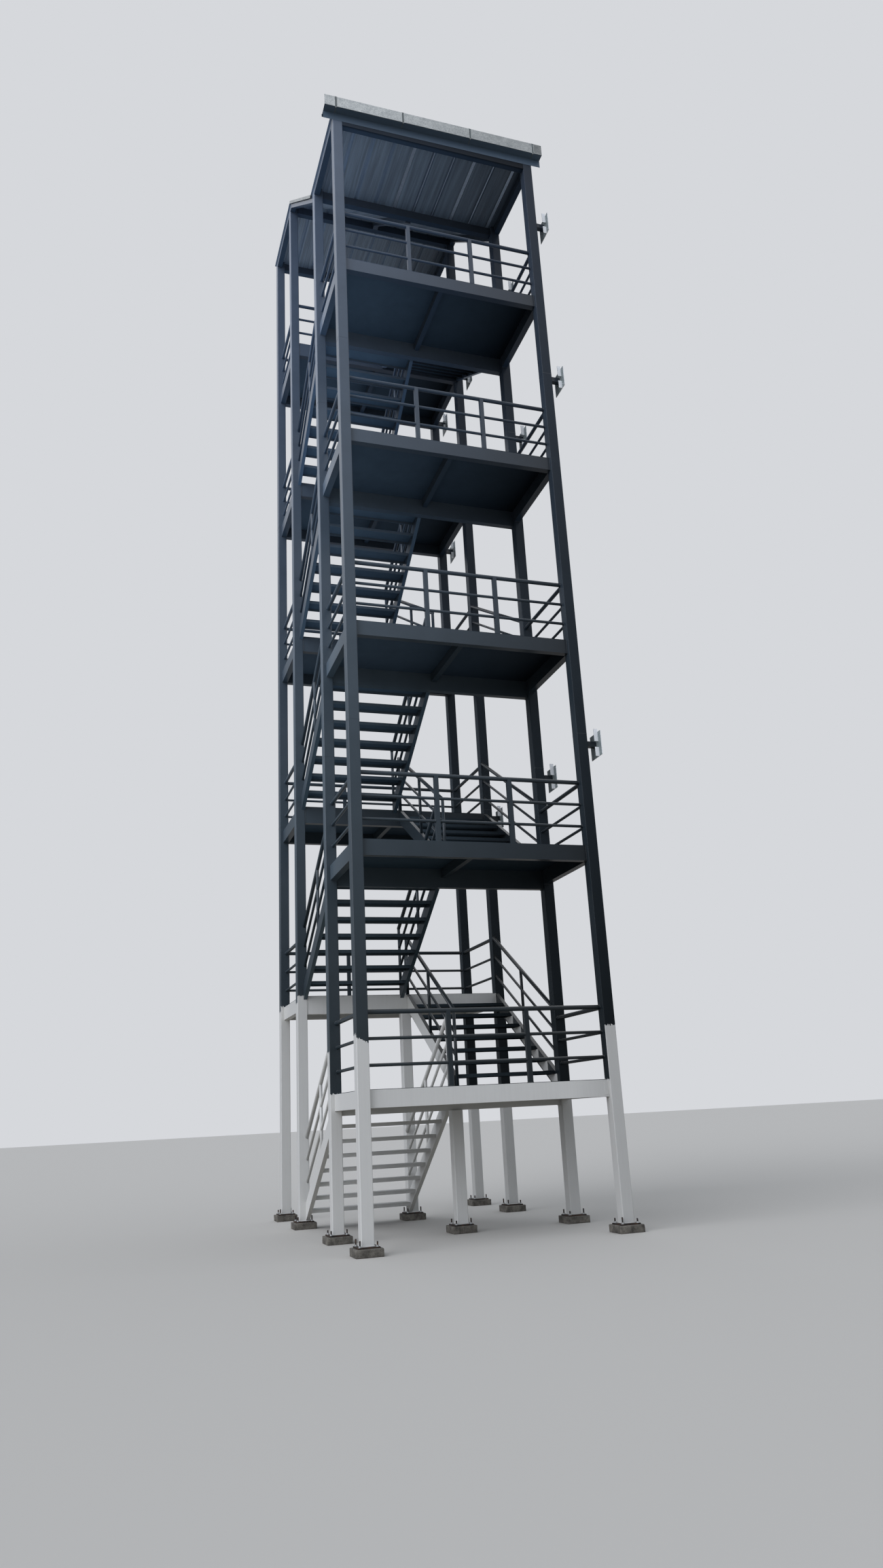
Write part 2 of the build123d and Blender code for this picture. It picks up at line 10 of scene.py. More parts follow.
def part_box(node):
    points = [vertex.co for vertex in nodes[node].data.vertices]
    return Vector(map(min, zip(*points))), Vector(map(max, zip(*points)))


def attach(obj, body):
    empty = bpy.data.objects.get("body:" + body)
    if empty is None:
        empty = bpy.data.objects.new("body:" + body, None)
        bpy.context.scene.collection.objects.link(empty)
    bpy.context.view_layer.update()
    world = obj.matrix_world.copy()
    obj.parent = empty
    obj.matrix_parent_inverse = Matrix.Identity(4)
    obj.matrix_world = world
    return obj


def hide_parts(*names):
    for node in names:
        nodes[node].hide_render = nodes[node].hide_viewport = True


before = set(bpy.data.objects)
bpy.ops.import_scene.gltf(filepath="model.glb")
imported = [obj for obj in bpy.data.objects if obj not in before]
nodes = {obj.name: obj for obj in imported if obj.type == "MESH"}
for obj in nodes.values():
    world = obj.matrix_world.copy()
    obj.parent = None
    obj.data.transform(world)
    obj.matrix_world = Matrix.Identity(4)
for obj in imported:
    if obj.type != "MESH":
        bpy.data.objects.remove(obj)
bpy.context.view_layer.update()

# ---- View ----
# The photograph is taken with a phone held upright near the ground, a little left of the tower
# and tilted up. The camera has its place, its tilt and its slight lean.
CAMERA_PLACE = Vector((-3.1863, -13.1257, 1.5468))
CAMERA_YAW, CAMERA_PITCH, CAMERA_LEAN = radians(18.6266), radians(17.4781), radians(-3.0344)
SENSOR_HEIGHT = 36
PHOTO_HEIGHT = 2309
FOCAL_PIXELS = 1545.14
SIGHT_RANGE = 400

camera_data = bpy.data.cameras.new("photo_camera")
camera = bpy.data.objects.new("photo_camera", camera_data)
bpy.context.scene.collection.objects.link(camera)
bpy.context.scene.camera = camera
camera_data.sensor_fit = "VERTICAL"
camera_data.sensor_height = SENSOR_HEIGHT
camera_data.lens = SENSOR_HEIGHT * FOCAL_PIXELS / PHOTO_HEIGHT
camera_data.clip_end = SIGHT_RANGE
upright = Vector((0, 0, 1))
forward_level = Vector((sin(CAMERA_YAW), cos(CAMERA_YAW), 0))
right_level = Vector((cos(CAMERA_YAW), -sin(CAMERA_YAW), 0))
forward = forward_level * cos(CAMERA_PITCH) + upright * sin(CAMERA_PITCH)
up_level = upright * cos(CAMERA_PITCH) - forward_level * sin(CAMERA_PITCH)
right = right_level * cos(CAMERA_LEAN) + up_level * sin(CAMERA_LEAN)
up = up_level * cos(CAMERA_LEAN) - right_level * sin(CAMERA_LEAN)
turn = Matrix((right, up, -forward)).transposed().to_4x4()
camera.matrix_world = Matrix.Translation(CAMERA_PLACE) @ turn

bpy.context.scene.view_settings.view_transform = "Standard"


def linear(code):
    """Linear colour of an sRGB hex code."""
    values = [int(code[k:k + 2], 16) / 255 for k in (1, 3, 5)]
    return [v / 12.92 if v <= 0.04045 else ((v + 0.055) / 1.055) ** 2.4 for v in values] + [1]


def fill_sockets(tree, node, inputs):
    """Fills input sockets of a node with values or links."""
    for socket, value in inputs.items():
        if isinstance(value, bpy.types.NodeSocket):
            tree.links.new(value, node.inputs[socket])
        else:
            node.inputs[socket].default_value = value


def add_node(tree, kind, settings, inputs):
    """Adds a node to a tree, sets its settings and fills its sockets."""
    made = tree.nodes.new(kind)
    for name, value in settings.items():
        setattr(made, name, value)
    fill_sockets(tree, made, inputs)
    return made


def new_material(name):
    """An empty node material: returns it, its tree and its surface shader."""
    material = bpy.data.materials.new(name)
    material.use_nodes = True
    return material, material.node_tree, material.node_tree.nodes["Principled BSDF"]


def compute(tree, operation, *values):
    """Output of a calculation with one to three values."""
    return add_node(tree, "ShaderNodeMath", {"operation": operation}, dict(enumerate(values))).outputs[0]


def product(tree, result, *factors):
    """Output of all values multiplied."""
    for factor in factors:
        result = compute(tree, "MULTIPLY", result, factor)
    return result


def ramp(tree, value, low, high, at_low=0.0, at_high=1.0):
    """Output that goes from at_low to at_high while the value goes from low to high."""
    made = add_node(tree, "ShaderNodeMapRange", {}, {0: value, 1: low, 2: high, 3: at_low, 4: at_high})
    return made.outputs[0]


def blend(tree, share, first, second):
    """Output of a colour that goes from the first to the second with the share."""
    made = add_node(tree, "ShaderNodeMix", {"data_type": "RGBA"}, {0: share, 6: first, 7: second})
    return made.outputs[2]


def scaled(tree, colour, strength):
    """Output of a colour made stronger or weaker."""
    made = add_node(tree, "ShaderNodeVectorMath", {"operation": "SCALE"}, {0: colour, "Scale": strength})
    return made.outputs[0]


def axes_of(tree, vector):
    """X, Y and Z outputs of a vector."""
    return add_node(tree, "ShaderNodeSeparateXYZ", {}, {0: vector}).outputs


# ---- Studio ----
# A plain pale floor under a pale overcast sky. The light is soft and comes from above and from the
# left, as under cloud, and the floor sends little of it back up, so the undersides stay dark.
FLOOR_HALF = 180
FLOOR_ROUGHNESS, FLOOR_GLOSS = 0.95, 0.1
FLOOR_SEEN, FLOOR_LIGHT, FLOOR_MIRRORED = "#c9c6bf", "#9c978e", "#8d8982"
SKY_SEEN, SKY_LIGHT, SKY_LOW = "#d6d8dc", "#dfe6f2", "#6f757c"
SKY_STRENGTH = 0.72
SKY_LOW_ANGLE, SKY_HIGH_ANGLE = radians(20), radians(36)
CLOUD_SPREAD = radians(60)
CLOUD_LIGHTS = (
    ("cloud_light_left", (0.80, 0.36, -0.48), 1.8, "#f4f6ff"),
    ("cloud_light_front", (-0.05, 0.88, -0.48), 0.05, "#f4f5fa"),
)


def ray_kinds(tree):
    """Outputs that tell whether a ray comes from the camera, and whether off a glossy surface."""
    path = add_node(tree, "ShaderNodeLightPath", {}, {}).outputs
    mirrored = compute(tree, "MAXIMUM", path["Is Glossy Ray"], path["Is Transmission Ray"])
    return path["Is Camera Ray"], mirrored


floor_mesh = bpy.data.meshes.new("floor")
shape = bmesh.new()
bmesh.ops.create_grid(shape, x_segments=1, y_segments=1, size=FLOOR_HALF)
shape.to_mesh(floor_mesh)
shape.free()
floor = bpy.data.objects.new("floor", floor_mesh)
bpy.context.scene.collection.objects.link(floor)
# Matt and even, darker for the light it sends up than for the eye
floor_paint, tree, shader = new_material("plain_floor")
direct, mirrored = ray_kinds(tree)
unseen = blend(tree, mirrored, linear(FLOOR_LIGHT), linear(FLOOR_MIRRORED))
fill_sockets(tree, shader, {"Base Color": blend(tree, direct, unseen, linear(FLOOR_SEEN)),
                            "Roughness": FLOOR_ROUGHNESS, "Specular IOR Level": FLOOR_GLOSS})
floor_mesh.materials.append(floor_paint)

world = bpy.data.worlds.new("studio_sky")
bpy.context.scene.world = world
world.use_nodes = True
tree = world.node_tree
direct, mirrored = ray_kinds(tree)
seen = compute(tree, "MAXIMUM", direct, mirrored)
# What gloss shows is dim near the horizon and pale higher up
towards = add_node(tree, "ShaderNodeTexCoord", {}, {}).outputs["Generated"]
rise = add_node(tree, "ShaderNodeMapRange", {"interpolation_type": "SMOOTHSTEP"},
                {0: axes_of(tree, towards)["Z"], 1: sin(SKY_LOW_ANGLE), 2: sin(SKY_HIGH_ANGLE)})
mirrored_sky = blend(tree, rise.outputs[0], linear(SKY_LOW), linear(SKY_SEEN))
shown_sky = blend(tree, direct, mirrored_sky, linear(SKY_SEEN))
fill_sockets(tree, tree.nodes["Background"], {"Color": blend(tree, seen, linear(SKY_LIGHT), shown_sky),
                                              "Strength": ramp(tree, seen, 0.0, 1.0, SKY_STRENGTH, 1.0)})

for name, direction, strength, colour in CLOUD_LIGHTS:
    lamp = bpy.data.lights.new(name, "SUN")
    lamp.energy = strength
    lamp.angle = CLOUD_SPREAD
    lamp.color = linear(colour)[:3]
    lamp_object = bpy.data.objects.new(name, lamp)
    lamp_object.rotation_euler = Vector(direction).to_track_quat("-Z", "Y").to_euler()
    bpy.context.scene.collection.objects.link(lamp_object)

# ---- Concrete footings ----
# Ten low blocks cast in rough board forms on the yard slab, one under each column and middle post.
# The concrete is damp and dark, with soft edges and pores.
COLUMN_ROWS = (0.0, 1.610, 4.010, 5.635)
COLUMN_LEFT, COLUMN_RIGHT, COLUMN_MIDDLE = 0.0, 3.420, 1.732
COLUMN_PLACES = [(x, y) for y in COLUMN_ROWS for x in (COLUMN_LEFT, COLUMN_RIGHT)]
FEET = COLUMN_PLACES + [(COLUMN_MIDDLE, COLUMN_ROWS[1]), (COLUMN_MIDDLE, COLUMN_ROWS[2])]
FOOTING_HALF, FOOTING_HEIGHT, FOOTING_EDGE = 0.170, 0.095, 0.007
CAST_UNEVENNESS, BOARD_UNEVENNESS = 0.004, 0.0015
CAST_MARKS, BOARD_MARKS = 13, Vector((3, 3, 40))
CAST_CUTS, LEVEL_FOOT, TOP_RIM = 4, 0.004, 0.010


def add_block(shape, low, high, rounding=0.0, segments=1, upright_only=False, place=Matrix()):
    """Adds a block between two corners, with all or only its upright edges rounded."""
    low, high = Vector(low), Vector(high)
    size = Matrix.Diagonal((*(high - low), 1))
    made = bmesh.ops.create_cube(shape, size=1, matrix=place @ Matrix.Translation((low + high) / 2) @ size)
    if rounding:
        edges = dict.fromkeys(edge for point in made["verts"] for edge in point.link_edges)
        if upright_only:
            edges = [e for e in edges if abs((e.verts[0].co - e.verts[1].co).normalized().z) > 0.9]
        bmesh.ops.bevel(shape, geom=list(edges), offset=rounding, segments=segments, affect="EDGES",
                        profile=0.5, material=-1)


def add_piece(name, shape, material, smooth=False):
    """Makes a piece from a bmesh, gives it its material and rides it on the frame."""
    if smooth:
        for face in shape.faces:
            face.smooth = True
    mesh = bpy.data.meshes.new(name)
    shape.to_mesh(mesh)
    shape.free()
    mesh.materials.append(material)
    piece = bpy.data.objects.new(name, mesh)
    bpy.context.scene.collection.objects.link(piece)
    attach(piece, "root")
    return piece


def object_place(tree):
    """Output of the place on the tower, in metres."""
    return add_node(tree, "ShaderNodeTexCoord", {}, {}).outputs["Object"]


def marks_in(tree, place, density, detail, roughness=0.5):
    """Output of soft random marks, so many to the metre, each with its own finer marks."""
    made = add_node(tree, "ShaderNodeTexNoise", {},
                    {"Vector": place, "Scale": density, "Detail": detail, "Roughness": roughness})
    return made.outputs["Fac"]


def add_relief(tree, shader, height, strength, depth=0.001):
    """Presses a pattern of heights into a surface, at most as deep as depth."""
    made = add_node(tree, "ShaderNodeBump", {}, {"Strength": strength, "Distance": depth, "Height": height})
    tree.links.new(made.outputs[0], shader.inputs["Normal"])


# Damp site concrete: mid grey-brown with darker patches, fine pores and sand, quite rough
CONCRETE_DAMP, CONCRETE_DRY, CONCRETE_PORE = "#45423d", "#7a766d", "#34322e"
PATCH_MARKS, PATCH_RANGE = (9.0, 6.0, 0.65), (0.35, 0.65)
SAND_MARKS, SAND_SHADES, SAND_HEIGHT = (260.0, 2.0), (0.3, 0.7, 0.75, 1.2), 0.25
PORE_MARKS, PORE_RANGE = 55.0, (0.05, 0.28)
CONCRETE_ROUGHNESS, CONCRETE_IOR, CONCRETE_RELIEF = 0.88, 1.5, (0.7, 0.002)
concrete, tree, shader = new_material("rough_cast_concrete")
place = object_place(tree)
patches = ramp(tree, marks_in(tree, place, *PATCH_MARKS), *PATCH_RANGE)
damp = blend(tree, patches, linear(CONCRETE_DAMP), linear(CONCRETE_DRY))
sand = marks_in(tree, place, *SAND_MARKS)
sanded = scaled(tree, damp, ramp(tree, sand, *SAND_SHADES))
pores = add_node(tree, "ShaderNodeTexVoronoi", {}, {"Vector": place, "Scale": PORE_MARKS})
pore_depth = ramp(tree, pores.outputs["Distance"], *PORE_RANGE)
fill_sockets(tree, shader, {"Base Color": blend(tree, pore_depth, linear(CONCRETE_PORE), sanded),
                            "Roughness": CONCRETE_ROUGHNESS, "IOR": CONCRETE_IOR})
add_relief(tree, shader, compute(tree, "MULTIPLY_ADD", sand, SAND_HEIGHT, pore_depth), *CONCRETE_RELIEF)

shape = bmesh.new()
for x, y in FEET:
    add_block(shape, (x - FOOTING_HALF, y - FOOTING_HALF, 0),
              (x + FOOTING_HALF, y + FOOTING_HALF, FOOTING_HEIGHT), FOOTING_EDGE, 2)
bmesh.ops.subdivide_edges(shape, edges=shape.edges[:], cuts=CAST_CUTS, use_grid_fill=True)
for point in shape.verts:
    rough = noise.noise_vector(point.co * CAST_MARKS)
    boards = noise.noise(point.co * BOARD_MARKS)
    if point.co.z > LEVEL_FOOT:
        point.co.x += rough.x * CAST_UNEVENNESS + boards * BOARD_UNEVENNESS
        point.co.y += rough.y * CAST_UNEVENNESS
    if point.co.z > FOOTING_HEIGHT - TOP_RIM:
        point.co.z -= abs(rough.z) * CAST_UNEVENNESS
blocks = add_piece("footing_blocks", shape, concrete, smooth=True)
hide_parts("footings")

# ---- Painted steel ----
# All tubes are welded mild steel, sprayed dark slate grey over a white primer. Near the ground the
# grey is still missing. Its ragged lower edge is brushed by hand and differs from tube to tube.
PRIMER, GRIME, DUST = "#d6d6d2", "#96938b", "#94918a"
FAR_BELOW, FAR_ABOVE = -1000, 1000
# The grey's share by the wall on the right, as painted shade
WALL_SHADE_SHARE = 0.3
# Heights in metres and the grey there, on what faces out or up and on what faces down. The grey
# gets lighter and bluer with height as painted sky light, and the undersides' tones are painted light
GREY_STOPS = ((2.5, "#2d363b"), (7.5, "#48555f"), (17.0, "#5a687b"))
UNDER_STOPS = ((4.5, "#28363d"), (8.5, "#435564"), (15.0, "#4d6686"))
BRUSH_MARKS, BRUSH_WANDER, EDGE_BLUR = ((60, 60, 8), 2.0), 0.09, 0.00227
STREAK_MARKS, DIRT_RANGE = ((38, 38, 1.6), 4.0), (0.2, 0.45, 0.0, 0.07)
PRIMER_WALL_SHADE = (2.8, 3.4, 1.0, 0.78)
MOST_DUST = 0.35
# Clouds in the coat: marks to the metre and their finer marks, the middle range of any such marks,
# and the strength and roughness that go with it
CLOUD_MARKS, MIDDLE_RANGE = (2.2, 5.0, 0.6), (0.3, 0.7)
CLOUD_SHADES, CLOUD_ROUGHNESS = (0.93, 1.07), (0.28, 0.32)
PEEL_MARKS, PEEL_RELIEF = (160.0, 2.0), 0.12
ENAMEL_IOR = 1.5
# A face looks up or down when its normal's Z is past the first, and left when its X is past the others
UPRIGHT_LIMIT, LEFT_LIMITS = 0.5, (-0.5, -0.9)


def height_colour(tree, height, stops):
    """Colour that runs evenly through stops of height in metres and hex code."""
    (low, first), *rest = stops
    colour = linear(first)
    for high, code in rest:
        colour = blend(tree, ramp(tree, height, low, high), colour, linear(code))
        low = high
    return colour


def drawn_marks(tree, place, density, detail):
    """Output of random marks with their own number to the metre along X, Y and Z."""
    drawn = add_node(tree, "ShaderNodeMapping", {}, {"Vector": place, "Scale": density})
    return marks_in(tree, drawn.outputs[0], 1.0, detail)


def face_axes(tree):
    """X, Y and Z outputs of the direction that a face looks in."""
    return axes_of(tree, add_node(tree, "ShaderNodeNewGeometry", {}, {}).outputs["Normal"])


def steel_paint(name, front_edge, left_edge=None, left_of=FAR_BELOW, tilt=0.0, gain=1.0, gloss_level=0.5,
                left_light=1.0, under_light=1.0, wall_shade_share=WALL_SHADE_SHARE, depth=(0.0, 1.0, 1.0, 1.0)):
    """Slate grey enamel over white primer. The primer shows below front_edge, and below left_edge on
    what lies left of left_of; tilt raises the edge along X, all in metres. gain is the grey's strength,
    left_light and under_light its painted light on faces turned left and down, and wall_shade_share its
    share by the wall, as painted shade. depth gives two places along Y and the grey's strength there."""
    material, tree, shader = new_material(name)
    place = object_place(tree)
    along = axes_of(tree, place)
    facing = face_axes(tree)
    # The brushed edge wanders by about 35 mm, in marks some 17 mm wide
    brushed = drawn_marks(tree, place, *BRUSH_MARKS)
    height = compute(tree, "MULTIPLY_ADD", brushed, BRUSH_WANDER, along["Z"])
    leaning = compute(tree, "MULTIPLY_ADD", along["X"], tilt, height)
    on_left = compute(tree, "LESS_THAN", along["X"], left_of)
    step = 0.0 if left_edge is None else left_edge - front_edge
    edge = compute(tree, "MULTIPLY_ADD", on_left, step, front_edge + BRUSH_WANDER / 2)
    coat = ramp(tree, compute(tree, "SUBTRACT", leaning, edge), -EDGE_BLUR, EDGE_BLUR)
    # Grey enamel in soft clouds half a metre across, with painted light: lighter and bluer towards the
    # top, darker by the wall as painted shade, and its own strength on undersides and left faces
    downward = compute(tree, "LESS_THAN", facing["Z"], -UPRIGHT_LIMIT)
    grey = blend(tree, downward, height_colour(tree, along["Z"], GREY_STOPS),
                 height_colour(tree, along["Z"], UNDER_STOPS))
    clouds = marks_in(tree, place, *CLOUD_MARKS)
    strength = product(tree, ramp(tree, clouds, *MIDDLE_RANGE, *CLOUD_SHADES),
                       ramp(tree, along["X"], COLUMN_LEFT, COLUMN_RIGHT, gain, gain * wall_shade_share),
                       ramp(tree, along["Y"], *depth),
                       ramp(tree, facing["X"], *LEFT_LIMITS, 1.0, left_light),
                       ramp(tree, downward, 0.0, 1.0, 1.0, under_light))
    # White primer: rain streaks some 25 mm wide and half a metre long, and grime in clouds
    dirt = product(tree, drawn_marks(tree, place, *STREAK_MARKS), clouds)
    primer = blend(tree, ramp(tree, dirt, *DIRT_RANGE), linear(PRIMER), linear(GRIME))
    # The primer is darker by the wall, as painted shade
    wall_primer = scaled(tree, primer, ramp(tree, along["X"], *PRIMER_WALL_SHADE))
    both = blend(tree, coat, wall_primer, scaled(tree, grey, strength))
    # Pale dust lies on what faces up
    dust = ramp(tree, facing["Z"], UPRIGHT_LIMIT, 1.0, 0.0, MOST_DUST)
    fill_sockets(tree, shader, {"Base Color": blend(tree, dust, both, linear(DUST)),
                                "Roughness": ramp(tree, clouds, *MIDDLE_RANGE, *CLOUD_ROUGHNESS),
                                "IOR": ENAMEL_IOR, "Specular IOR Level": gloss_level})
    # Sprayed enamel has an orange peel about 6 mm across
    add_relief(tree, shader, marks_in(tree, place, *PEEL_MARKS), PEEL_RELIEF)
    return material


def finish_with(names, material):
    """Puts a material on CAD nodes."""
    for name in names:
        data = nodes[name].data
        data.materials.clear()
        data.materials.append(material)


all_grey = steel_paint("slate_enamel", FAR_BELOW)
all_primer = steel_paint("white_primer", FAR_ABOVE)

# ---- Base plates and anchor bolts ----
# Under each column a 16 mm plate of black rolled steel, held by four anchor studs in the corners.
# Each stud has a washer and a zinc-plated nut, and stands out above it by a different length.
PLATE_TOP = 0.111
BOLT_SPREAD = 0.106
STUD_RADIUS, STUD_SUNK, STUD_CHAMFER = 0.010, 0.004, 0.0015
STUD_HEIGHTS = (0.078, 0.062, 0.070, 0.084, 0.058)
NUT_RADIUS, NUT_HEIGHT, NUT_CHAMFER = 0.0175, 0.015, 0.002
WASHER_RADIUS, WASHER_HEIGHT, WASHER_CHAMFER = 0.021, 0.003, 0.0006

# Mill scale: blue-black rolled steel with a thin brown bloom of rust, faintly glossy
MILL_SCALE, RUST = "#262626", "#5a4232"
BLOOM_MARKS, BLOOM_RANGE = (16.0, 7.0, 0.7), (0.42, 0.68)
SCALE_ROUGHNESS, RUST_ROUGHNESS, SCALE_METAL, RUST_RELIEF = 0.45, 0.85, 0.3, 0.4
mill_steel, tree, shader = new_material("rusty_mill_steel")
bloom = marks_in(tree, object_place(tree), *BLOOM_MARKS)
bloom_share = ramp(tree, bloom, *BLOOM_RANGE)
rough = ramp(tree, bloom_share, 0.0, 1.0, SCALE_ROUGHNESS, RUST_ROUGHNESS)
fill_sockets(tree, shader, {"Base Color": blend(tree, bloom_share, linear(MILL_SCALE), linear(RUST)),
                            "Roughness": rough, "Metallic": SCALE_METAL})
add_relief(tree, shader, bloom, RUST_RELIEF)
finish_with(["base_plates"], mill_steel)

# Zinc coats: how far single crystals and weather change the tone, and how much crystals differ in gloss
CRYSTAL_SHARE, WEATHER_MARKS, ZINC_RANGE = 0.5, (3.5, 5.0), (0.4, 1.1)
ZINC_SMOOTHER, ZINC_ROUGHER, ZINC_METAL, ZINC_RELIEF = -0.08, 0.1, 0.7, 0.15
FASTENER_PALE, FASTENER_DARK = "#dcdedd", "#a2a5a6"


def crystal_tones(tree, place, density):
    """Three random outputs for each crystal of a zinc coat, so many crystals to the metre."""
    cells = add_node(tree, "ShaderNodeTexVoronoi", {}, {"Vector": place, "Scale": density})
    return add_node(tree, "ShaderNodeSeparateColor", {}, {0: cells.outputs["Color"]}).outputs


def zinc_coat(name, spangle, pale, dark, roughness):
    """Hot-dip zinc: crystals about spangle millimetres across, from pale to dark grey, half glossy."""
    material, tree, shader = new_material(name)
    place = object_place(tree)
    tones = crystal_tones(tree, place, 1000 / spangle)
    mixed = compute(tree, "MULTIPLY_ADD", tones[0], CRYSTAL_SHARE, marks_in(tree, place, *WEATHER_MARKS))
    colour = blend(tree, ramp(tree, mixed, *ZINC_RANGE), linear(dark), linear(pale))
    rough = ramp(tree, tones[1], 0.0, 1.0, roughness + ZINC_SMOOTHER, roughness + ZINC_ROUGHER)
    fill_sockets(tree, shader, {"Base Color": colour, "Roughness": rough, "Metallic": ZINC_METAL})
    add_relief(tree, shader, tones[2], ZINC_RELIEF)
    return material


def add_disc(shape, centre, axis, radius, height, sides, chamfer=0.0, tip=None):
    """Adds a bolt, washer or collar: a prism of many sides on its base centre, along an axis."""
    axis = Vector(axis).normalized()
    turn = axis.to_track_quat("Z", "Y").to_matrix().to_4x4()
    middle = Matrix.Translation(Vector(centre) + axis * height / 2)
    made = bmesh.ops.create_cone(shape, cap_ends=True, cap_tris=False, segments=sides, radius1=radius,
                                 radius2=radius if tip is None else tip, depth=height, matrix=middle @ turn)
    if chamfer:
        rim = dict.fromkeys(e for p in made["verts"] for e in p.link_edges
                            if all((q.co - Vector(centre)).dot(axis) > height * 0.9 for q in e.verts))
        bmesh.ops.bevel(shape, geom=list(rim), offset=chamfer, segments=1, affect="EDGES", profile=0.5,
                        material=-1)


zinc_fasteners = zinc_coat("zinc_plated_fasteners", 6, FASTENER_PALE, FASTENER_DARK, 0.32)
studs = bmesh.new()
nuts = bmesh.new()
for number, (x, y) in enumerate(FEET):
    for corner, (side_x, side_y) in enumerate(((-1, -1), (1, -1), (1, 1), (-1, 1))):
        base = Vector((x + side_x * BOLT_SPREAD, y + side_y * BOLT_SPREAD, PLATE_TOP))
        stud_height = STUD_HEIGHTS[(number * 3 + corner) % len(STUD_HEIGHTS)]
        add_disc(studs, base - upright * STUD_SUNK, upright, STUD_RADIUS, stud_height, 12, STUD_CHAMFER)
        add_disc(nuts, base, upright, WASHER_RADIUS, WASHER_HEIGHT, 20, WASHER_CHAMFER)
        add_disc(nuts, base + upright * WASHER_HEIGHT, upright, NUT_RADIUS, NUT_HEIGHT, 6, NUT_CHAMFER)
add_piece("anchor_studs", studs, mill_steel)
add_piece("anchor_nuts", nuts, zinc_fasteners)

# ---- Columns ----
# Eight 160 mm square tubes with rounded corners, welded to their base plates with a bead all round
# and butt welded twice on the way up, where the ground weld shows as a faint band.
SPLICE_HEIGHTS = (6.765, 13.085)
COLUMN_HALF, CORNER = 0.080, 0.010
FOOT_BEAD, FOOT_BEAD_ROUNDING = 0.009, 0.004
SPLICE_PROUD, SPLICE_HALF = 0.0012, 0.006
# Just inside the left faces of the left and the right columns, along X
LEFT_ROW_FACE, RIGHT_ROW_FACE = -0.0795, 3.3405
# Lower edge of the grey on the front and on the left face, where the left face ends along X, the
# tilt of the edge, the strength of the grey, its gloss, and its share on the left face. The strength
# and the left share are painted light: each tube's brightness and the left faces lit from the left.
COLUMN_EDGES = {
    "column_front_left": (2.483, 2.52, LEFT_ROW_FACE, 0.45, 1.0, 0.5, 1.1),
    "column_mid_front_left": (1.89, 2.45, LEFT_ROW_FACE, 0.0, 1.05, 0.5, 1.4),
    "column_mid_rear_left": (3.50, 3.385, LEFT_ROW_FACE, 0.0, 1.05, 0.5, 1.3),
    "column_rear_left": (3.50, 3.41, LEFT_ROW_FACE, 0.0, 1.05, 0.5),
    "column_front_right": (2.588, 1.89, RIGHT_ROW_FACE, 0.0, 0.95, 0.15, 1.5),
    "column_mid_front_right": (1.89, 1.89, FAR_BELOW, 0.0, 1.05, 0.15, 1.4),
    "column_mid_rear_right": (1.89, 1.89, FAR_BELOW, 0.0, 1.05, 0.15, 1.4),
    "column_rear_right": (1.89, 1.89, FAR_BELOW, 0.0, 1.05, 0.15, 1.4),
}
for name, edges in COLUMN_EDGES.items():
    finish_with([name], steel_paint(f"{name}_paint", *edges))

shape = bmesh.new()
for x, y in FEET:
    half = COLUMN_HALF + FOOT_BEAD
    add_block(shape, (x - half, y - half, PLATE_TOP), (x + half, y + half, PLATE_TOP + FOOT_BEAD),
              FOOT_BEAD_ROUNDING, 2)
add_piece("foot_welds", shape, all_primer, smooth=True)

shape = bmesh.new()
for x, y in COLUMN_PLACES:
    for z in SPLICE_HEIGHTS:
        half = COLUMN_HALF + SPLICE_PROUD
        add_block(shape, (x - half, y - half, z - SPLICE_HALF), (x + half, y + half, z + SPLICE_HALF),
                  CORNER + SPLICE_PROUD, 3, upright_only=True)
add_piece("splice_welds", shape, all_grey)

# ---- Middle posts ----
# Two more tubes of the same size stand under the first landings, in the middle between the flights.
# They carry the stair beams and are still in white primer.
finish_with(["middle_posts"], all_primer)

# ---- Landing beams, joists and end welds ----
# Each landing has a frame of 100 mm wide box beams, welded between the columns, with one joist
# across the middle. Every beam end has a fillet weld all round.
FRONT_LEVELS = [1.890 + 3.200 * n for n in range(5)]
REAR_LEVELS = [level + 1.600 for level in FRONT_LEVELS]
DECK = 0.006
BEAM_HALF = 0.050
EDGE_DEPTH, STAIR_DEPTH = 0.216, 0.284
INNER_LEFT, INNER_RIGHT = COLUMN_LEFT + COLUMN_HALF, COLUMN_RIGHT - COLUMN_HALF
SIDE_LINES = (INNER_LEFT - BEAM_HALF, INNER_RIGHT + BEAM_HALF)
FRONT_BAY = (COLUMN_ROWS[0] + COLUMN_HALF, COLUMN_ROWS[1] - COLUMN_HALF)
REAR_BAY = (COLUMN_ROWS[2] + COLUMN_HALF, COLUMN_ROWS[3] - COLUMN_HALF)
FRONT_EDGE, FRONT_STAIR = FRONT_BAY[0] - BEAM_HALF, COLUMN_ROWS[1] + COLUMN_HALF - BEAM_HALF
REAR_EDGE, REAR_STAIR = REAR_BAY[1] + BEAM_HALF, COLUMN_ROWS[2] - COLUMN_HALF + BEAM_HALF
WELD_PROUD, WELD_WIDTH, WELD_ABOVE, WELD_ROUNDING = 0.006, 0.008, 0.003, 0.003

# The front landing's beams are painted lighter towards the stair beams at the back, as painted light, and
# darker by the wall, as painted shade
front_beam_paint = steel_paint("front_landing_paint", 2.5, wall_shade_share=0.23, depth=(0.2, 1.5, 1.0, 1.7))
rear_beam_paint = steel_paint("rear_landing_paint", 4.5)
finish_with(["front_landing_beams"], front_beam_paint)
finish_with(["rear_landing_beams"], rear_beam_paint)
finish_with(["landing_joists"], steel_paint("landing_joist_paint", 4.5, gloss_level=0.15))

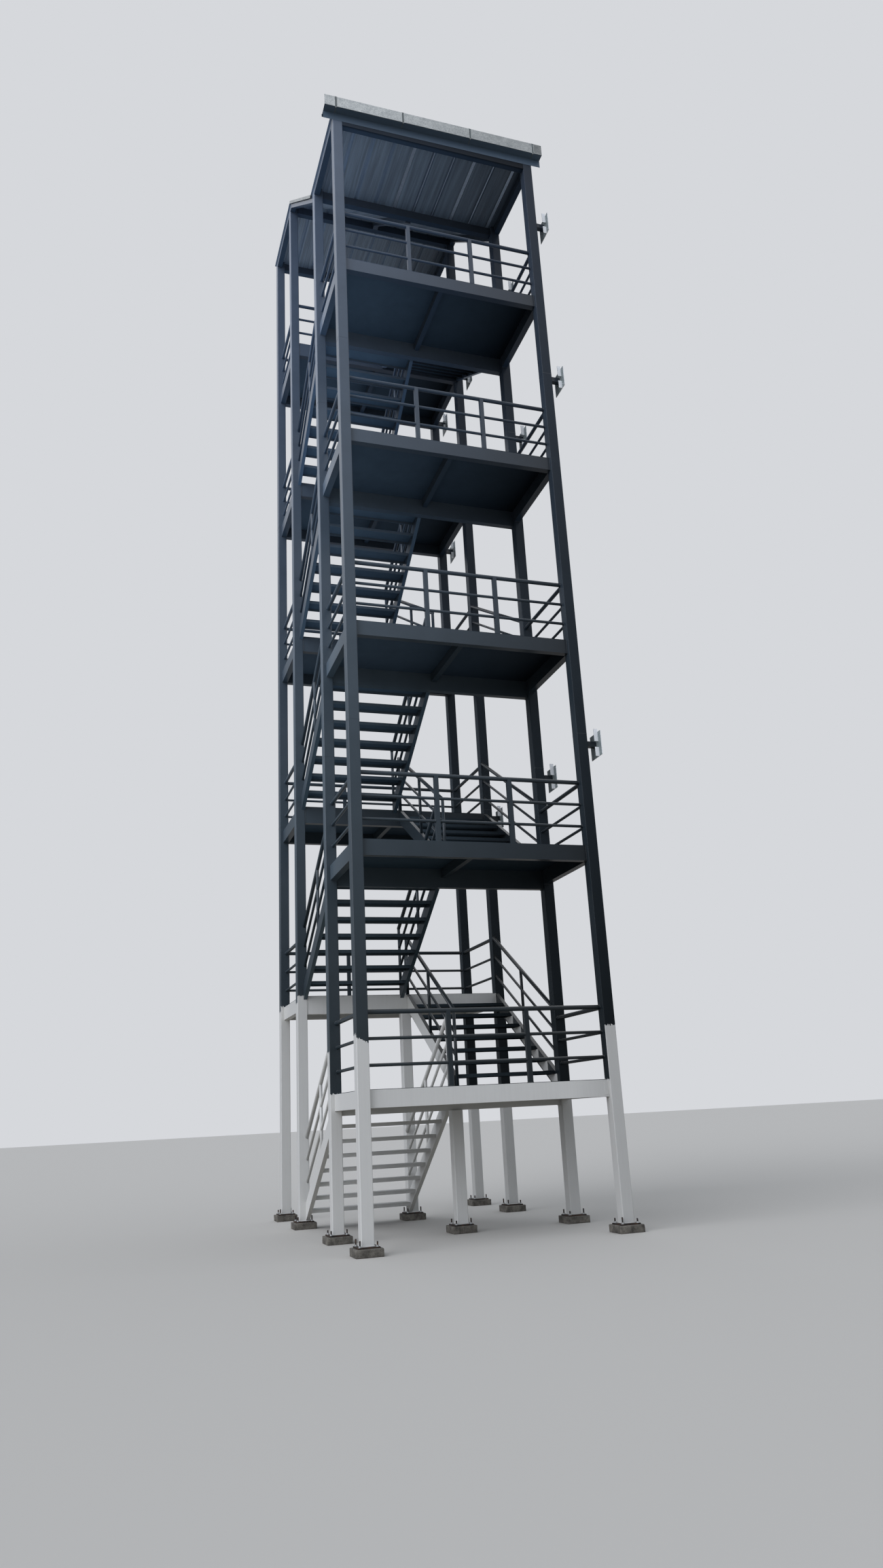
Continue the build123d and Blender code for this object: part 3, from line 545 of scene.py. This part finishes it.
for name, levels, bay, edge_y, stair_y, paint in (
        ("front_beam_welds", FRONT_LEVELS, FRONT_BAY, FRONT_EDGE, FRONT_STAIR, front_beam_paint),
        ("rear_beam_welds", REAR_LEVELS, REAR_BAY, REAR_EDGE, REAR_STAIR, rear_beam_paint)):
    shape = bmesh.new()
    for level in levels:
        under_deck = level - DECK
        top = under_deck + WELD_ABOVE
        for y, depth in ((edge_y, EDGE_DEPTH), (stair_y, STAIR_DEPTH)):
            for x_low in (INNER_LEFT, INNER_RIGHT - WELD_WIDTH):
                add_block(shape, (x_low, y - BEAM_HALF - WELD_PROUD, under_deck - depth - WELD_PROUD),
                          (x_low + WELD_WIDTH, y + BEAM_HALF + WELD_PROUD, top), WELD_ROUNDING, 2)
        for x in SIDE_LINES:
            for y_low in (bay[0], bay[1] - WELD_WIDTH):
                add_block(shape, (x - BEAM_HALF, y_low, under_deck - EDGE_DEPTH - WELD_PROUD),
                          (x + BEAM_HALF, y_low + WELD_WIDTH, top), WELD_ROUNDING, 2)
    add_piece(name, shape, paint, smooth=True)

# The lowest front beam shows a thin end plate at each column
END_PLATE_WIDTH, END_PLATE_HEIGHT, END_PLATE_SHEET, END_PLATE_ROUNDING = 0.065, 0.170, 0.003, 0.001
shape = bmesh.new()
for x_low in (INNER_LEFT, INNER_RIGHT - END_PLATE_WIDTH):
    top = FRONT_LEVELS[0] - DECK - (EDGE_DEPTH - END_PLATE_HEIGHT) / 2
    add_block(shape, (x_low, FRONT_EDGE - BEAM_HALF - END_PLATE_SHEET, top - END_PLATE_HEIGHT),
              (x_low + END_PLATE_WIDTH, FRONT_EDGE - BEAM_HALF, top), END_PLATE_ROUNDING)
add_piece("beam_end_plates", shape, front_beam_paint)

# ---- Decks and treads ----
# The decks are 6 mm chequer plate welded over the beams, and the treads are pans folded from 5 mm
# chequer plate between the stringers. The raised lozenges face up; the undersides are smooth.
LOZENGE_PITCH, LOZENGE_GAP, LOZENGE_EDGE, LOZENGE_RELIEF = 0.028, 0.24, 0.4, (0.6, 0.002)
RAISED, FLAT = "#ffffff", "#000000"
PLATE_CLOUDS, PLATE_SHADES = (3.0, 6.0, 0.65), (0.92, 1.08)
PLATE_ROUGHNESS, PLATE_GLOSS = 0.6, 0.08
PLATE_UNDER_STOPS = ((4.5, "#334550"), (8.5, "#50657a"), (15.0, "#597593"))
PLATE_DUST, PLATE_DUST_RANGE = "#8f8c84", (0.35, 0.65, 0.1, 0.5)
LIT_BELOW, UNLIT_ABOVE, UNLIT_SHARE = 5.2, 8.0, 0.04


def chequer_plate(name, primer_below, gain=1.15):
    """Painted chequer plate: crossed lozenges on top, a smooth and dull underside. It is in primer
    below a height in metres, and gain is the paint's strength at the left, as painted light."""
    material, tree, shader = new_material(name)
    place = object_place(tree)
    along = axes_of(tree, place)
    facing = face_axes(tree)
    upward = compute(tree, "GREATER_THAN", facing["Z"], UPRIGHT_LIMIT)
    downward = compute(tree, "LESS_THAN", facing["Z"], -UPRIGHT_LIMIT)
    # The rows of lozenges run across the corner
    turned = add_node(tree, "ShaderNodeMapping", {}, {"Vector": place, "Rotation": (0, 0, pi / 4)})
    lozenges = add_node(tree, "ShaderNodeTexBrick", {"offset": 0.5},
                        {"Vector": turned.outputs[0], "Scale": 1 / LOZENGE_PITCH, "Brick Width": 1.0,
                         "Row Height": 0.5, "Mortar Size": LOZENGE_GAP, "Mortar Smooth": LOZENGE_EDGE,
                         "Color1": linear(RAISED), "Color2": linear(RAISED), "Mortar": linear(FLAT)})
    add_relief(tree, shader, product(tree, lozenges.outputs["Color"], upward), *LOZENGE_RELIEF)
    clouds = marks_in(tree, place, *PLATE_CLOUDS)
    white = compute(tree, "LESS_THAN", along["Z"], primer_below)
    painted = blend(tree, white, height_colour(tree, along["Z"], GREY_STOPS), linear(PRIMER))
    # Undersides get their own grey, lighter and bluer towards the top, as painted light
    coat = blend(tree, downward, painted, height_colour(tree, along["Z"], PLATE_UNDER_STOPS))
    # The lowest plates still get light from the ground at their wall end, the others hardly any
    wall_gain = ramp(tree, along["Z"], LIT_BELOW, UNLIT_ABOVE, WALL_SHADE_SHARE, UNLIT_SHARE * gain)
    strength = product(tree, ramp(tree, clouds, *MIDDLE_RANGE, *PLATE_SHADES),
                       ramp(tree, along["X"], COLUMN_LEFT, COLUMN_RIGHT, gain, wall_gain))
    dust = product(tree, ramp(tree, clouds, *PLATE_DUST_RANGE), upward)
    dusty = blend(tree, dust, scaled(tree, coat, strength), linear(PLATE_DUST))
    fill_sockets(tree, shader, {"Base Color": dusty, "Roughness": PLATE_ROUGHNESS, "IOR": ENAMEL_IOR,
                                "Specular IOR Level": PLATE_GLOSS})
    return material


grey_plate = chequer_plate("grey_chequer_plate", FAR_BELOW)
finish_with(["front_decks", "rear_decks"], grey_plate)

# ---- Flights ----
# Ten flights, each between two welded stringers 60 mm wide. The lowest left flight is still white all
# over, and the lowest right one on the left face of its inner stringer and in marks on the outer one.
STRINGER_WIDTH = 0.060
RISER, GOING = 0.200, 0.320
INNER_STRINGER_FACE = 1.7625
finish_with(["left_flight_1_stringers"], all_primer)
finish_with(["left_flight_1_treads"], chequer_plate("white_chequer_plate", FAR_ABOVE))
finish_with(["right_flight_1_stringers"],
            steel_paint("right_flight_1_paint", FAR_BELOW, FAR_ABOVE, INNER_STRINGER_FACE))
# The pans' folded undersides catch more of the light that comes through the open flights
stringer_paint = steel_paint("stringer_paint", FAR_BELOW, under_light=2.2)
tread_plate = chequer_plate("grey_tread_plate", FAR_BELOW, 2.3)
for number in range(1, 6):
    finish_with([f"right_flight_{number}_treads"], tread_plate)
    if number > 1:
        finish_with([f"{side}_flight_{number}_stringers" for side in ("left", "right")], stringer_paint)
        finish_with([f"left_flight_{number}_treads"], tread_plate)

# On the lowest right flight the grey was put on from above. The primer was left bare on the outer
# stringer under each tread, down to the stringer's lower edge. One mark's corners along Y and Z:
BARE_PRIMER = ((1.941, 2.240), (1.941, 2.105), (2.099, 2.105), (2.283, 2.235))
MARKED_STEPS = range(-1, 5)
COAT = 0.0004
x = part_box("right_flight_1_stringers")[1][0] - STRINGER_WIDTH
shape = bmesh.new()
for step in MARKED_STEPS:
    corners = [shape.verts.new((x, y + GOING * step, z + RISER * step)) for y, z in BARE_PRIMER]
    drawn = bmesh.ops.extrude_face_region(shape, geom=[shape.faces.new(corners)])
    moved = [part for part in drawn["geom"] if isinstance(part, bmesh.types.BMVert)]
    bmesh.ops.translate(shape, verts=moved, vec=(-COAT, 0, 0))
bmesh.ops.recalc_face_normals(shape, faces=shape.faces[:])
add_piece("bare_primer_marks", shape, all_primer)

# ---- Railings ----
# Round tubes, 60 mm for the hand rail and 42 mm below it, with 60 mm square posts on the landings
# and round ones on the flights. Every tube end has a fillet weld where it meets a post or column.
RAIL_HEIGHTS = (0.290, 0.615, 0.945)
RAIL_RADII = (0.021, 0.021, 0.030)
POST_HALF, POST_WELD_HALF, POST_WELD_HEIGHT = 0.030, 0.035, 0.006
COLLAR_PROUD, COLLAR_LENGTH = 0.005, 0.007
POST_COLUMNS = [INNER_LEFT + (INNER_RIGHT - INNER_LEFT) * k / 3 for k in (1, 2)]

finish_with(["front_railings", "rear_railings", "left_side_railings", "right_side_railings", "top_guard"],
            all_grey)

shape = bmesh.new()
for levels, edge_y, bay in ((FRONT_LEVELS, FRONT_EDGE, FRONT_BAY), (REAR_LEVELS, REAR_EDGE, REAR_BAY)):
    for level in levels:
        for height, radius in zip(RAIL_HEIGHTS, RAIL_RADII):
            z = level + height
            ends = [(INNER_LEFT, edge_y, 1, 0), (INNER_RIGHT, edge_y, -1, 0)]
            if height < RAIL_HEIGHTS[-1]:
                ends += [(x + side * POST_HALF, edge_y, side, 0) for x in POST_COLUMNS for side in (-1, 1)]
            for x in SIDE_LINES:
                ends += [(x, bay[0], 0, 1), (x, bay[1], 0, -1)]
            for x, y, along_x, along_y in ends:
                add_disc(shape, (x, y, z), (along_x, along_y, 0), radius + COLLAR_PROUD, COLLAR_LENGTH, 16,
                         tip=radius)
        for x in POST_COLUMNS:
            add_block(shape, (x - POST_WELD_HALF, edge_y - POST_WELD_HALF, level),
                      (x + POST_WELD_HALF, edge_y + POST_WELD_HALF, level + POST_WELD_HEIGHT),
                      WELD_ROUNDING, 2)
add_piece("rail_welds", shape, all_grey, smooth=True)

# ---- Flight railings ----
# The same tubes run down both stringers of a flight, cut plumb at their ends, with a round post in
# the middle and one on the stair beam at each end of the inner side.
FLIGHT_FRONT, FLIGHT_REAR = COLUMN_ROWS[1] + COLUMN_HALF, COLUMN_ROWS[2] - COLUMN_HALF
FLIGHT_MIDDLE = (FLIGHT_FRONT + FLIGHT_REAR) / 2
ROUND_POST = 0.024
STRINGER_DROP = 0.010
SLOPE, LOWEST_SLOPE = RISER / GOING, 0.202 / 0.300
LOWEST_RAIL_END = 0.012
TUBE_SIDES = 20


def add_sloping_tube(shape, x, start, end, radius):
    """Adds a round rail with plumb ends between two places (y, z), the front one first."""
    slope = (end[1] - start[1]) / (end[0] - start[0])
    thickness = (1 + slope * slope) ** 0.5
    lean = Matrix(((1, 0, 0, x), (0, 0, 1, (start[0] + end[0]) / 2),
                   (0, -thickness, slope, (start[1] + end[1]) / 2), (0, 0, 0, 1)))
    bmesh.ops.create_cone(shape, cap_ends=True, segments=TUBE_SIDES, radius1=radius, radius2=radius,
                          depth=end[0] - start[0], matrix=lean)


def add_round_post(shape, x, y, foot, slope, height):
    """Adds a round post whose foot and head are cut to a slope."""
    cut = Matrix(((1, 0, 0, x), (0, 1, 0, y), (0, slope, 1, foot + height / 2), (0, 0, 0, 1)))
    bmesh.ops.create_cone(shape, cap_ends=True, segments=TUBE_SIDES, radius1=ROUND_POST, radius2=ROUND_POST,
                          depth=height, matrix=cut)


left_rail_paint = steel_paint("left_flight_rail_paint", 2.95)
for side, tops, paint in (("left", FRONT_LEVELS, left_rail_paint), ("right", REAR_LEVELS, all_grey)):
    for group in ("outer", "inner"):
        shape = bmesh.new()
        for number, top in enumerate(tops, 1):
            low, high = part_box(f"{side}_flight_{number}_stringers")
            on_low_x = (side == "left") == (group == "outer")
            x = low[0] + STRINGER_WIDTH / 2 if on_low_x else high[0] - STRINGER_WIDTH / 2
            lowest = side == "left" and number == 1
            fall = LOWEST_SLOPE if lowest else SLOPE
            slope, start = (-fall, FLIGHT_FRONT) if side == "left" else (fall, FLIGHT_REAR)
            y_front, y_rear = FLIGHT_FRONT, FLIGHT_REAR - (LOWEST_RAIL_END if lowest else 0)
            landing = {y: top - (0 if y == start else FRONT_LEVELS[1] - REAR_LEVELS[0])
                       for y in (FLIGHT_FRONT, FLIGHT_REAR)}
            if group == "inner":
                y_front = FRONT_STAIR
                foot = landing[FLIGHT_FRONT]
                head = top + (FRONT_STAIR - start) * slope + RAIL_HEIGHTS[-1]
                add_round_post(shape, x, FRONT_STAIR, foot, 0, head - foot)
                if not lowest:
                    y_rear = REAR_STAIR
                    foot = landing[FLIGHT_REAR]
                    head = top + (REAR_STAIR - start) * slope + RAIL_HEIGHTS[-1]
                    add_round_post(shape, x, REAR_STAIR, foot, 0, head - foot)
            for height, radius in zip(RAIL_HEIGHTS, RAIL_RADII):
                add_sloping_tube(shape, x, (y_front, top + (y_front - start) * slope + height),
                                 (y_rear, top + (y_rear - start) * slope + height), radius)
            foot = top + (FLIGHT_MIDDLE - start) * slope - STRINGER_DROP
            add_round_post(shape, x, FLIGHT_MIDDLE, foot, slope, RAIL_HEIGHTS[-1] + STRINGER_DROP)
        for face in shape.faces:
            face.smooth = len(face.verts) == 4
        rails = add_piece(f"{side}_flight_{group}_tubes", shape, paint)
        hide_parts(f"{side}_flight_{group}_railings")

# ---- Roof frame ----
# Box beams over the landings and three steep rafters over the flights carry the roof sheets. The
# beam behind the gutter is in its shade.
# The front face of the front beam is painted darker, as painted shade of the gutter
SHADED_BEAM = (-0.079, -0.040, 0.3, 1.0)
finish_with(["roof_beams"], steel_paint("roof_beam_paint", FAR_BELOW, gloss_level=0.1, depth=SHADED_BEAM))
finish_with(["roof_rafters"], all_grey)

# ---- Roof sheets ----
# Trapezoidal sheet with a zinc coat outside and a blue-grey backing coat inside, one length over the
# front landing, one up the slope and one over the rear landing. Screws with washers hold the ribs.
KINK_FRONT, KINK_REAR = 1.732, 3.825
FRONT_ROOF, REAR_ROOF = 17.715, 19.716
ROOF_FALL = 0.056
ROOF_SLOPE = (REAR_ROOF - FRONT_ROOF) / (KINK_REAR - KINK_FRONT)
FIRST_RIB, RIB_PITCH = -0.0235, 0.3665
RIBS = [FIRST_RIB + RIB_PITCH * k for k in range(10)]
RIB_HEIGHT, RIB_CROWN, RIB_FOOT = 0.0365, 0.020, 0.035
SHEET = 0.0015
SHEET_LEFT, SHEET_RIGHT = -0.105, 3.525
GROOVE_HEIGHT, GROOVE_CROWN, GROOVE_FOOT = 0.004, 0.006, 0.012
GROOVE_PLACES = (0.120, 0.183, 0.246)
ZINC_PALE, ZINC_DARK = "#c3c7c6", "#9da2a3"


def roof_height(y):
    """Underside of the roof sheets at y."""
    if y < KINK_FRONT:
        return FRONT_ROOF + (y - KINK_FRONT) * ROOF_FALL
    if y < KINK_REAR:
        return FRONT_ROOF + (y - KINK_FRONT) * ROOF_SLOPE
    return REAR_ROOF + (y - KINK_REAR) * ROOF_FALL


# The backing coat is a thin blue-grey film, dull, with condensation streaks down the pans
FILM_DEEP, FILM_PALE = "#73869f", "#8ca4c0"
FILM_STREAKS, STREAK_RANGE = ((24, 0.7, 0.7), 5.0), (0.35, 0.65)
BACKING_WALL_SHADE, RIB_PALENESS = (0.3, 3.4, 1.5, 0.36), 1.12
ROOF_CRYSTALS, ROOF_METAL, ROOF_ROUGHNESS = 50.0, 0.6, 0.42
backing, tree, shader = new_material("roof_sheet_coats")
place = object_place(tree)
along = axes_of(tree, place)
outside = compute(tree, "GREATER_THAN", face_axes(tree)["Z"], 0.0)
streaks = ramp(tree, drawn_marks(tree, place, *FILM_STREAKS), *STREAK_RANGE)
film = blend(tree, streaks, linear(FILM_DEEP), linear(FILM_PALE))
# The ribs are painted paler, as painted light in their hollows, and the film darker by the wall,
# as painted shade
from_rib = compute(tree, "SUBTRACT", along["X"], FIRST_RIB)
to_rib = compute(tree, "PINGPONG", from_rib, RIB_PITCH / 2)
over_rib = compute(tree, "LESS_THAN", to_rib, RIB_FOOT)
strength = product(tree, ramp(tree, over_rib, 0.0, 1.0, 1.0, RIB_PALENESS),
                   ramp(tree, along["X"], *BACKING_WALL_SHADE))
cells = add_node(tree, "ShaderNodeTexVoronoi", {}, {"Vector": place, "Scale": ROOF_CRYSTALS})
zinc = blend(tree, cells.outputs["Color"], linear(ZINC_DARK), linear(ZINC_PALE))
fill_sockets(tree, shader, {"Base Color": blend(tree, outside, scaled(tree, film, strength), zinc),
                            "Metallic": product(tree, outside, ROOF_METAL), "Roughness": ROOF_ROUGHNESS})

for node in ("front_roof_sheet", "sloping_roof_sheet", "rear_roof_sheet"):
    low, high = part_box(node)
    start, end = low[1], high[1]
    outline = [(SHEET_LEFT, 0)]
    for x in RIBS:
        crown = RIB_HEIGHT - SHEET
        outline += [(x - RIB_FOOT, 0), (x - RIB_CROWN, crown), (x + RIB_CROWN, crown), (x + RIB_FOOT, 0)]
        for middle in (x + offset for offset in GROOVE_PLACES):
            if middle + GROOVE_FOOT < SHEET_RIGHT:
                outline += [(middle - GROOVE_FOOT, 0), (middle - GROOVE_CROWN, GROOVE_HEIGHT),
                            (middle + GROOVE_CROWN, GROOVE_HEIGHT), (middle + GROOVE_FOOT, 0)]
    outline.append((SHEET_RIGHT, 0))
    shape = bmesh.new()
    corners = [shape.verts.new((x, start, roof_height(start) + z)) for x, z in outline]
    line = [shape.edges.new(pair) for pair in zip(corners, corners[1:])]
    drawn = bmesh.ops.extrude_edge_only(shape, edges=line)
    moved = [part for part in drawn["geom"] if isinstance(part, bmesh.types.BMVert)]
    rise = roof_height(end) - roof_height(start)
    bmesh.ops.translate(shape, verts=moved, vec=(0, end - start, rise))
    shape.normal_update()
    if shape.faces[:][0].normal.z > 0:
        bmesh.ops.reverse_faces(shape, faces=shape.faces[:])
    bmesh.ops.solidify(shape, geom=shape.faces[:], thickness=SHEET)
    sheet = add_piece(f"{node}_ribbed", shape, backing)
    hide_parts(node)

# Where two widths of the front sheet overlap, the bare zinc edge of the next one closes the rib.
# It shows by a different width at each lapped rib, and this is half of it:
LAPPED_RIBS = {4: 0.030, 5: 0.010, 6: 0.008, 7: 0.028, 8: 0.010, 9: 0.026}
LAP_SHEET, LAP_START, LAP_END = 0.001, 0.045, FRONT_STAIR - BEAM_HALF - 0.005
# The edges' pale blue-white is painted sky reflection on the bare zinc
lap_zinc = zinc_coat("zinc_sheet_edge", 20, "#d2e4fc", "#bed2ea", 0.5)
with_roof = Matrix(((1, 0, 0, 0), (0, 1, 0, 0), (0, ROOF_FALL, 1, roof_height(0.0)), (0, 0, 0, 1)))
shape = bmesh.new()
for number, half in LAPPED_RIBS.items():
    x = RIBS[number]
    add_block(shape, (x - half, LAP_START, -LAP_SHEET), (x + half, LAP_END, 0), place=with_roof)
add_piece("sheet_laps", shape, lap_zinc)

# Self-drilling screws with a sealing washer, on the crown of each rib
SCREW_ROWS = (0.110, 1.640, 1.840, 2.780, 3.750, 3.980, 5.665)
SEAL_RADIUS, SEAL_HEIGHT = 0.011, 0.003
HEAD_RADIUS, HEAD_HEIGHT, HEAD_CHAMFER = 0.0065, 0.006, 0.001
shape = bmesh.new()
for y in SCREW_ROWS:
    grade = ROOF_SLOPE if KINK_FRONT < y < KINK_REAR else ROOF_FALL
    normal = Vector((0, -grade, 1)).normalized()
    for x in RIBS:
        foot = Vector((x, y, roof_height(y) + RIB_HEIGHT))
        add_disc(shape, foot, normal, SEAL_RADIUS, SEAL_HEIGHT, 12)
        add_disc(shape, foot + normal * SEAL_HEIGHT, normal, HEAD_RADIUS, HEAD_HEIGHT, 6, HEAD_CHAMFER)
add_piece("roof_screws", shape, zinc_fasteners)

# Verge flashing: zinc sheet folded over the left and right edges of the steep sheet
FLASHING_PROUD, FLASHING_REACH, FLASHING_DROP = 0.004, 0.075, 0.045
FLASHING_UNDER, FLASHING_TOP, FLASHING_SHEET = 0.0015, 0.004, 0.002
FLASHING_START, FLASHING_PAST, FLASHING_ROUNDING = -0.010, 0.020, 0.0008
zinc_sheet = zinc_coat("zinc_roof_sheet", 20, ZINC_PALE, ZINC_DARK, 0.38)
shape = bmesh.new()
slope_angle = atan(ROOF_SLOPE)
flashing_end = (KINK_REAR - KINK_FRONT) / cos(slope_angle) + FLASHING_PAST
on_slope = Matrix.Translation((0, KINK_FRONT, FRONT_ROOF)) @ Matrix.Rotation(slope_angle, 4, "X")
for edge, inward in ((SHEET_LEFT, 1), (SHEET_RIGHT, -1)):
    outside_edge = edge - inward * FLASHING_PROUD
    for past, bottom in ((edge + inward * FLASHING_REACH, FLASHING_UNDER),
                         (edge - inward * FLASHING_SHEET, -FLASHING_DROP)):
        low, high = sorted((outside_edge, past))
        add_block(shape, (low, FLASHING_START, bottom), (high, flashing_end, FLASHING_TOP),
                  FLASHING_ROUNDING, 1, place=on_slope)
add_piece("verge_flashings", shape, zinc_sheet)

# ---- Gutter ----
# A deep box gutter folded from galvanised sheet runs along the front edge and sticks out at both
# ends. Its lengths overlap at four joints, sealed with dark mastic, and it drips there.
GUTTER_LEFT, GUTTER_RIGHT = -0.245, 3.665
GUTTER_BOTTOM, GUTTER_RISE = 17.6175, 0.045
GUTTER_FRONT, GUTTER_WALL = -0.205, 0.217
GUTTER_APRON = -0.150
GUTTER_JOINTS = (-0.050, 1.112, 2.322, 3.495)


def gutter_bottom(x):
    """Height of the gutter's underside at x."""
    return GUTTER_BOTTOM + GUTTER_RISE * (x - GUTTER_LEFT) / (GUTTER_RIGHT - GUTTER_LEFT)


# Spangled zinc on the front wall, darker towards the right and past the last joint as painted shade;
# the underside, the apron and what lies behind it are dark blue-grey
GUTTER_DARK, GUTTER_PALE, GUTTER_BLUE_GREY = "#b2b8ba", "#e2e6e5", "#526476"
GUTTER_CRYSTALS, GUTTER_CRYSTAL_SHARE, GUTTER_RANGE = 55.0, 0.4, (0.4, 1.0)
GUTTER_WEATHER = (5.0, 6.0, 0.65)
GUTTER_WALL_SHADE, END_LENGTH_SHADE = (0.6, 2.8, 1.0, 0.7), 0.6
GUTTER_METAL, GUTTER_ROUGHNESS, GUTTER_RELIEF = 0.55, 0.42, 0.12
gutter_paint, tree, shader = new_material("galvanised_gutter")
place = object_place(tree)
along = axes_of(tree, place)
tones = crystal_tones(tree, place, GUTTER_CRYSTALS)
weather = marks_in(tree, place, *GUTTER_WEATHER)
mixed = compute(tree, "MULTIPLY_ADD", tones[0], GUTTER_CRYSTAL_SHARE, weather)
zinc = blend(tree, ramp(tree, mixed, *GUTTER_RANGE), linear(GUTTER_DARK), linear(GUTTER_PALE))
end_length = compute(tree, "GREATER_THAN", along["X"], GUTTER_JOINTS[-1])
strength = product(tree, ramp(tree, along["X"], *GUTTER_WALL_SHADE),
                   ramp(tree, end_length, 0.0, 1.0, 1.0, END_LENGTH_SHADE))
downward = compute(tree, "LESS_THAN", face_axes(tree)["Z"], -UPRIGHT_LIMIT)
behind = compute(tree, "GREATER_THAN", along["Y"], GUTTER_APRON)
dark = compute(tree, "MAXIMUM", downward, behind)
colour = blend(tree, dark, scaled(tree, zinc, strength), linear(GUTTER_BLUE_GREY))
fill_sockets(tree, shader, {"Base Color": colour, "Metallic": ramp(tree, dark, 0.0, 1.0, GUTTER_METAL, 0.0),
                            "Roughness": GUTTER_ROUGHNESS})
add_relief(tree, shader, tones[1], GUTTER_RELIEF)
finish_with(["roof_gutter"], gutter_paint)

# Black butyl mastic squeezed out of the overlaps, soft and dull
MASTIC_DARK, MASTIC_PALE, MASTIC_ROUGHNESS, SMEAR_MARKS = "#4d5557", "#747c7d", 0.7, (40.0, 3.0)
mastic, tree, shader = new_material("joint_mastic")
smear = marks_in(tree, object_place(tree), *SMEAR_MARKS)
fill_sockets(tree, shader, {"Base Color": blend(tree, smear, linear(MASTIC_DARK), linear(MASTIC_PALE)),
                            "Roughness": MASTIC_ROUGHNESS})

SEAM_HALF, SEAM_PROUD, SEAM_BELOW, SEAM_ROUNDING = 0.014, 0.003, 0.004, 0.0006
STRAP_WIDTH, STRAP_PROUD, STRAP_BELOW, STRAP_ABOVE, STRAP_ROUNDING = 0.009, 0.0045, 0.006, 0.002, 0.0008
DROP_RADIUS, DROP_TIP, DROP_LENGTH, DROP_BEHIND = 0.011, 0.003, 0.018, 0.004
RUN_HALF, RUN_START, RUN_END, RUN_BELOW, RUN_INTO = 0.006, 0.010, -0.082, 0.002, 0.001
HEM_HEIGHT, HEM_PROUD = 0.009, 0.003
straps = bmesh.new()
seals = bmesh.new()
for x in GUTTER_JOINTS:
    bottom = gutter_bottom(x)
    top = bottom + GUTTER_WALL
    add_block(seals, (x - SEAM_HALF, GUTTER_FRONT - SEAM_PROUD, bottom - SEAM_BELOW),
              (x + SEAM_HALF, GUTTER_FRONT, top), SEAM_ROUNDING)
    for side in (-1, 1):
        near, far = sorted((x + side * SEAM_HALF, x + side * (SEAM_HALF + STRAP_WIDTH)))
        add_block(straps, (near, GUTTER_FRONT - STRAP_PROUD, bottom - STRAP_BELOW),
                  (far, GUTTER_FRONT, top + STRAP_ABOVE), STRAP_ROUNDING)
    # A drop hangs at the foot of the joint, and its run shows on the underside
    add_disc(straps, (x, GUTTER_FRONT + DROP_BEHIND, bottom), -upright, DROP_RADIUS, DROP_LENGTH, 10,
             tip=DROP_TIP)
    add_block(seals, (x - RUN_HALF, GUTTER_FRONT + RUN_START, bottom - RUN_BELOW),
              (x + RUN_HALF, RUN_END, bottom + RUN_INTO), SEAM_ROUNDING)
# The lower edge of the front wall is hemmed
rise = GUTTER_RISE / (GUTTER_RIGHT - GUTTER_LEFT)
with_gutter = Matrix(((1, 0, 0, 0), (0, 1, 0, 0), (rise, 0, 1, gutter_bottom(0.0)), (0, 0, 0, 1)))
add_block(straps, (GUTTER_LEFT, GUTTER_FRONT - HEM_PROUD, 0), (GUTTER_RIGHT, GUTTER_FRONT, HEM_HEIGHT),
          place=with_gutter)
add_piece("gutter_overlaps", straps, zinc_sheet)
add_piece("gutter_seals", seals, mastic)

# ---- Wall ties ----
# Short stubs reach from the right-hand columns to the building. A folded zinc plate is screwed to
# the wall behind each, with one fin above the stub and one below it.
TIE_HEIGHTS = (6.624, 13.024, 16.224)
WALL_FACE = 3.667
WALL_PLATE_ALONG, WALL_PLATE_UP = (-0.190, 0.150), (-0.200, 0.170)
WALL_PLATE_SHEET, WALL_PLATE_ROUNDING = 0.010, 0.001
FIN_PLACE, FIN_REACH, FIN_SHEET = -0.110, 0.072, 0.006
FINS_UP = ((-0.205, -0.065), (0.025, 0.215))
WALL_SCREWS_ALONG, WALL_SCREWS_UP = (-0.155, 0.110), (-0.160, 0.130)
WALL_SCREW_RADIUS, WALL_SCREW_HEIGHT = 0.007, 0.005
finish_with(["tie_stubs"], all_grey)
# Bright zinc on the fins; what looks left, such as the plate on the wall, is in shade and duller
FIN_DARK, FIN_PALE, PLATE_SHADE_ZINC = "#eef2f5", "#fafbfc", "#7f898a"
PLATE_CRYSTALS, PLATE_ZINC_ROUGHNESS = 90.0, 0.5
plate_zinc, tree, shader = new_material("zinc_wall_plates")
tones = crystal_tones(tree, object_place(tree), PLATE_CRYSTALS)
bright = blend(tree, tones[0], linear(FIN_DARK), linear(FIN_PALE))
to_left = compute(tree, "LESS_THAN", face_axes(tree)["X"], -UPRIGHT_LIMIT)
fill_sockets(tree, shader, {"Base Color": blend(tree, to_left, bright, linear(PLATE_SHADE_ZINC)),
                            "Roughness": PLATE_ZINC_ROUGHNESS})
add_relief(tree, shader, tones[1], ZINC_RELIEF)
plates = bmesh.new()
screws = bmesh.new()
plate_front = WALL_FACE - WALL_PLATE_SHEET
for z in TIE_HEIGHTS:
    for y in COLUMN_ROWS:
        add_block(plates, (plate_front, y + WALL_PLATE_ALONG[0], z + WALL_PLATE_UP[0]),
                  (WALL_FACE, y + WALL_PLATE_ALONG[1], z + WALL_PLATE_UP[1]), WALL_PLATE_ROUNDING)
        for low, high in FINS_UP:
            add_block(plates, (WALL_FACE - FIN_REACH, y + FIN_PLACE, z + low),
                      (plate_front, y + FIN_PLACE + FIN_SHEET, z + high), WALL_PLATE_ROUNDING)
        for sideways in WALL_SCREWS_ALONG:
            for height in WALL_SCREWS_UP:
                add_disc(screws, (plate_front, y + sideways, z + height), (-1, 0, 0), WALL_SCREW_RADIUS,
                         WALL_SCREW_HEIGHT, 6, HEAD_CHAMFER)
wall_plates = add_piece("folded_wall_plates", plates, plate_zinc)
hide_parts("wall_plates")
add_piece("wall_screws", screws, zinc_fasteners)
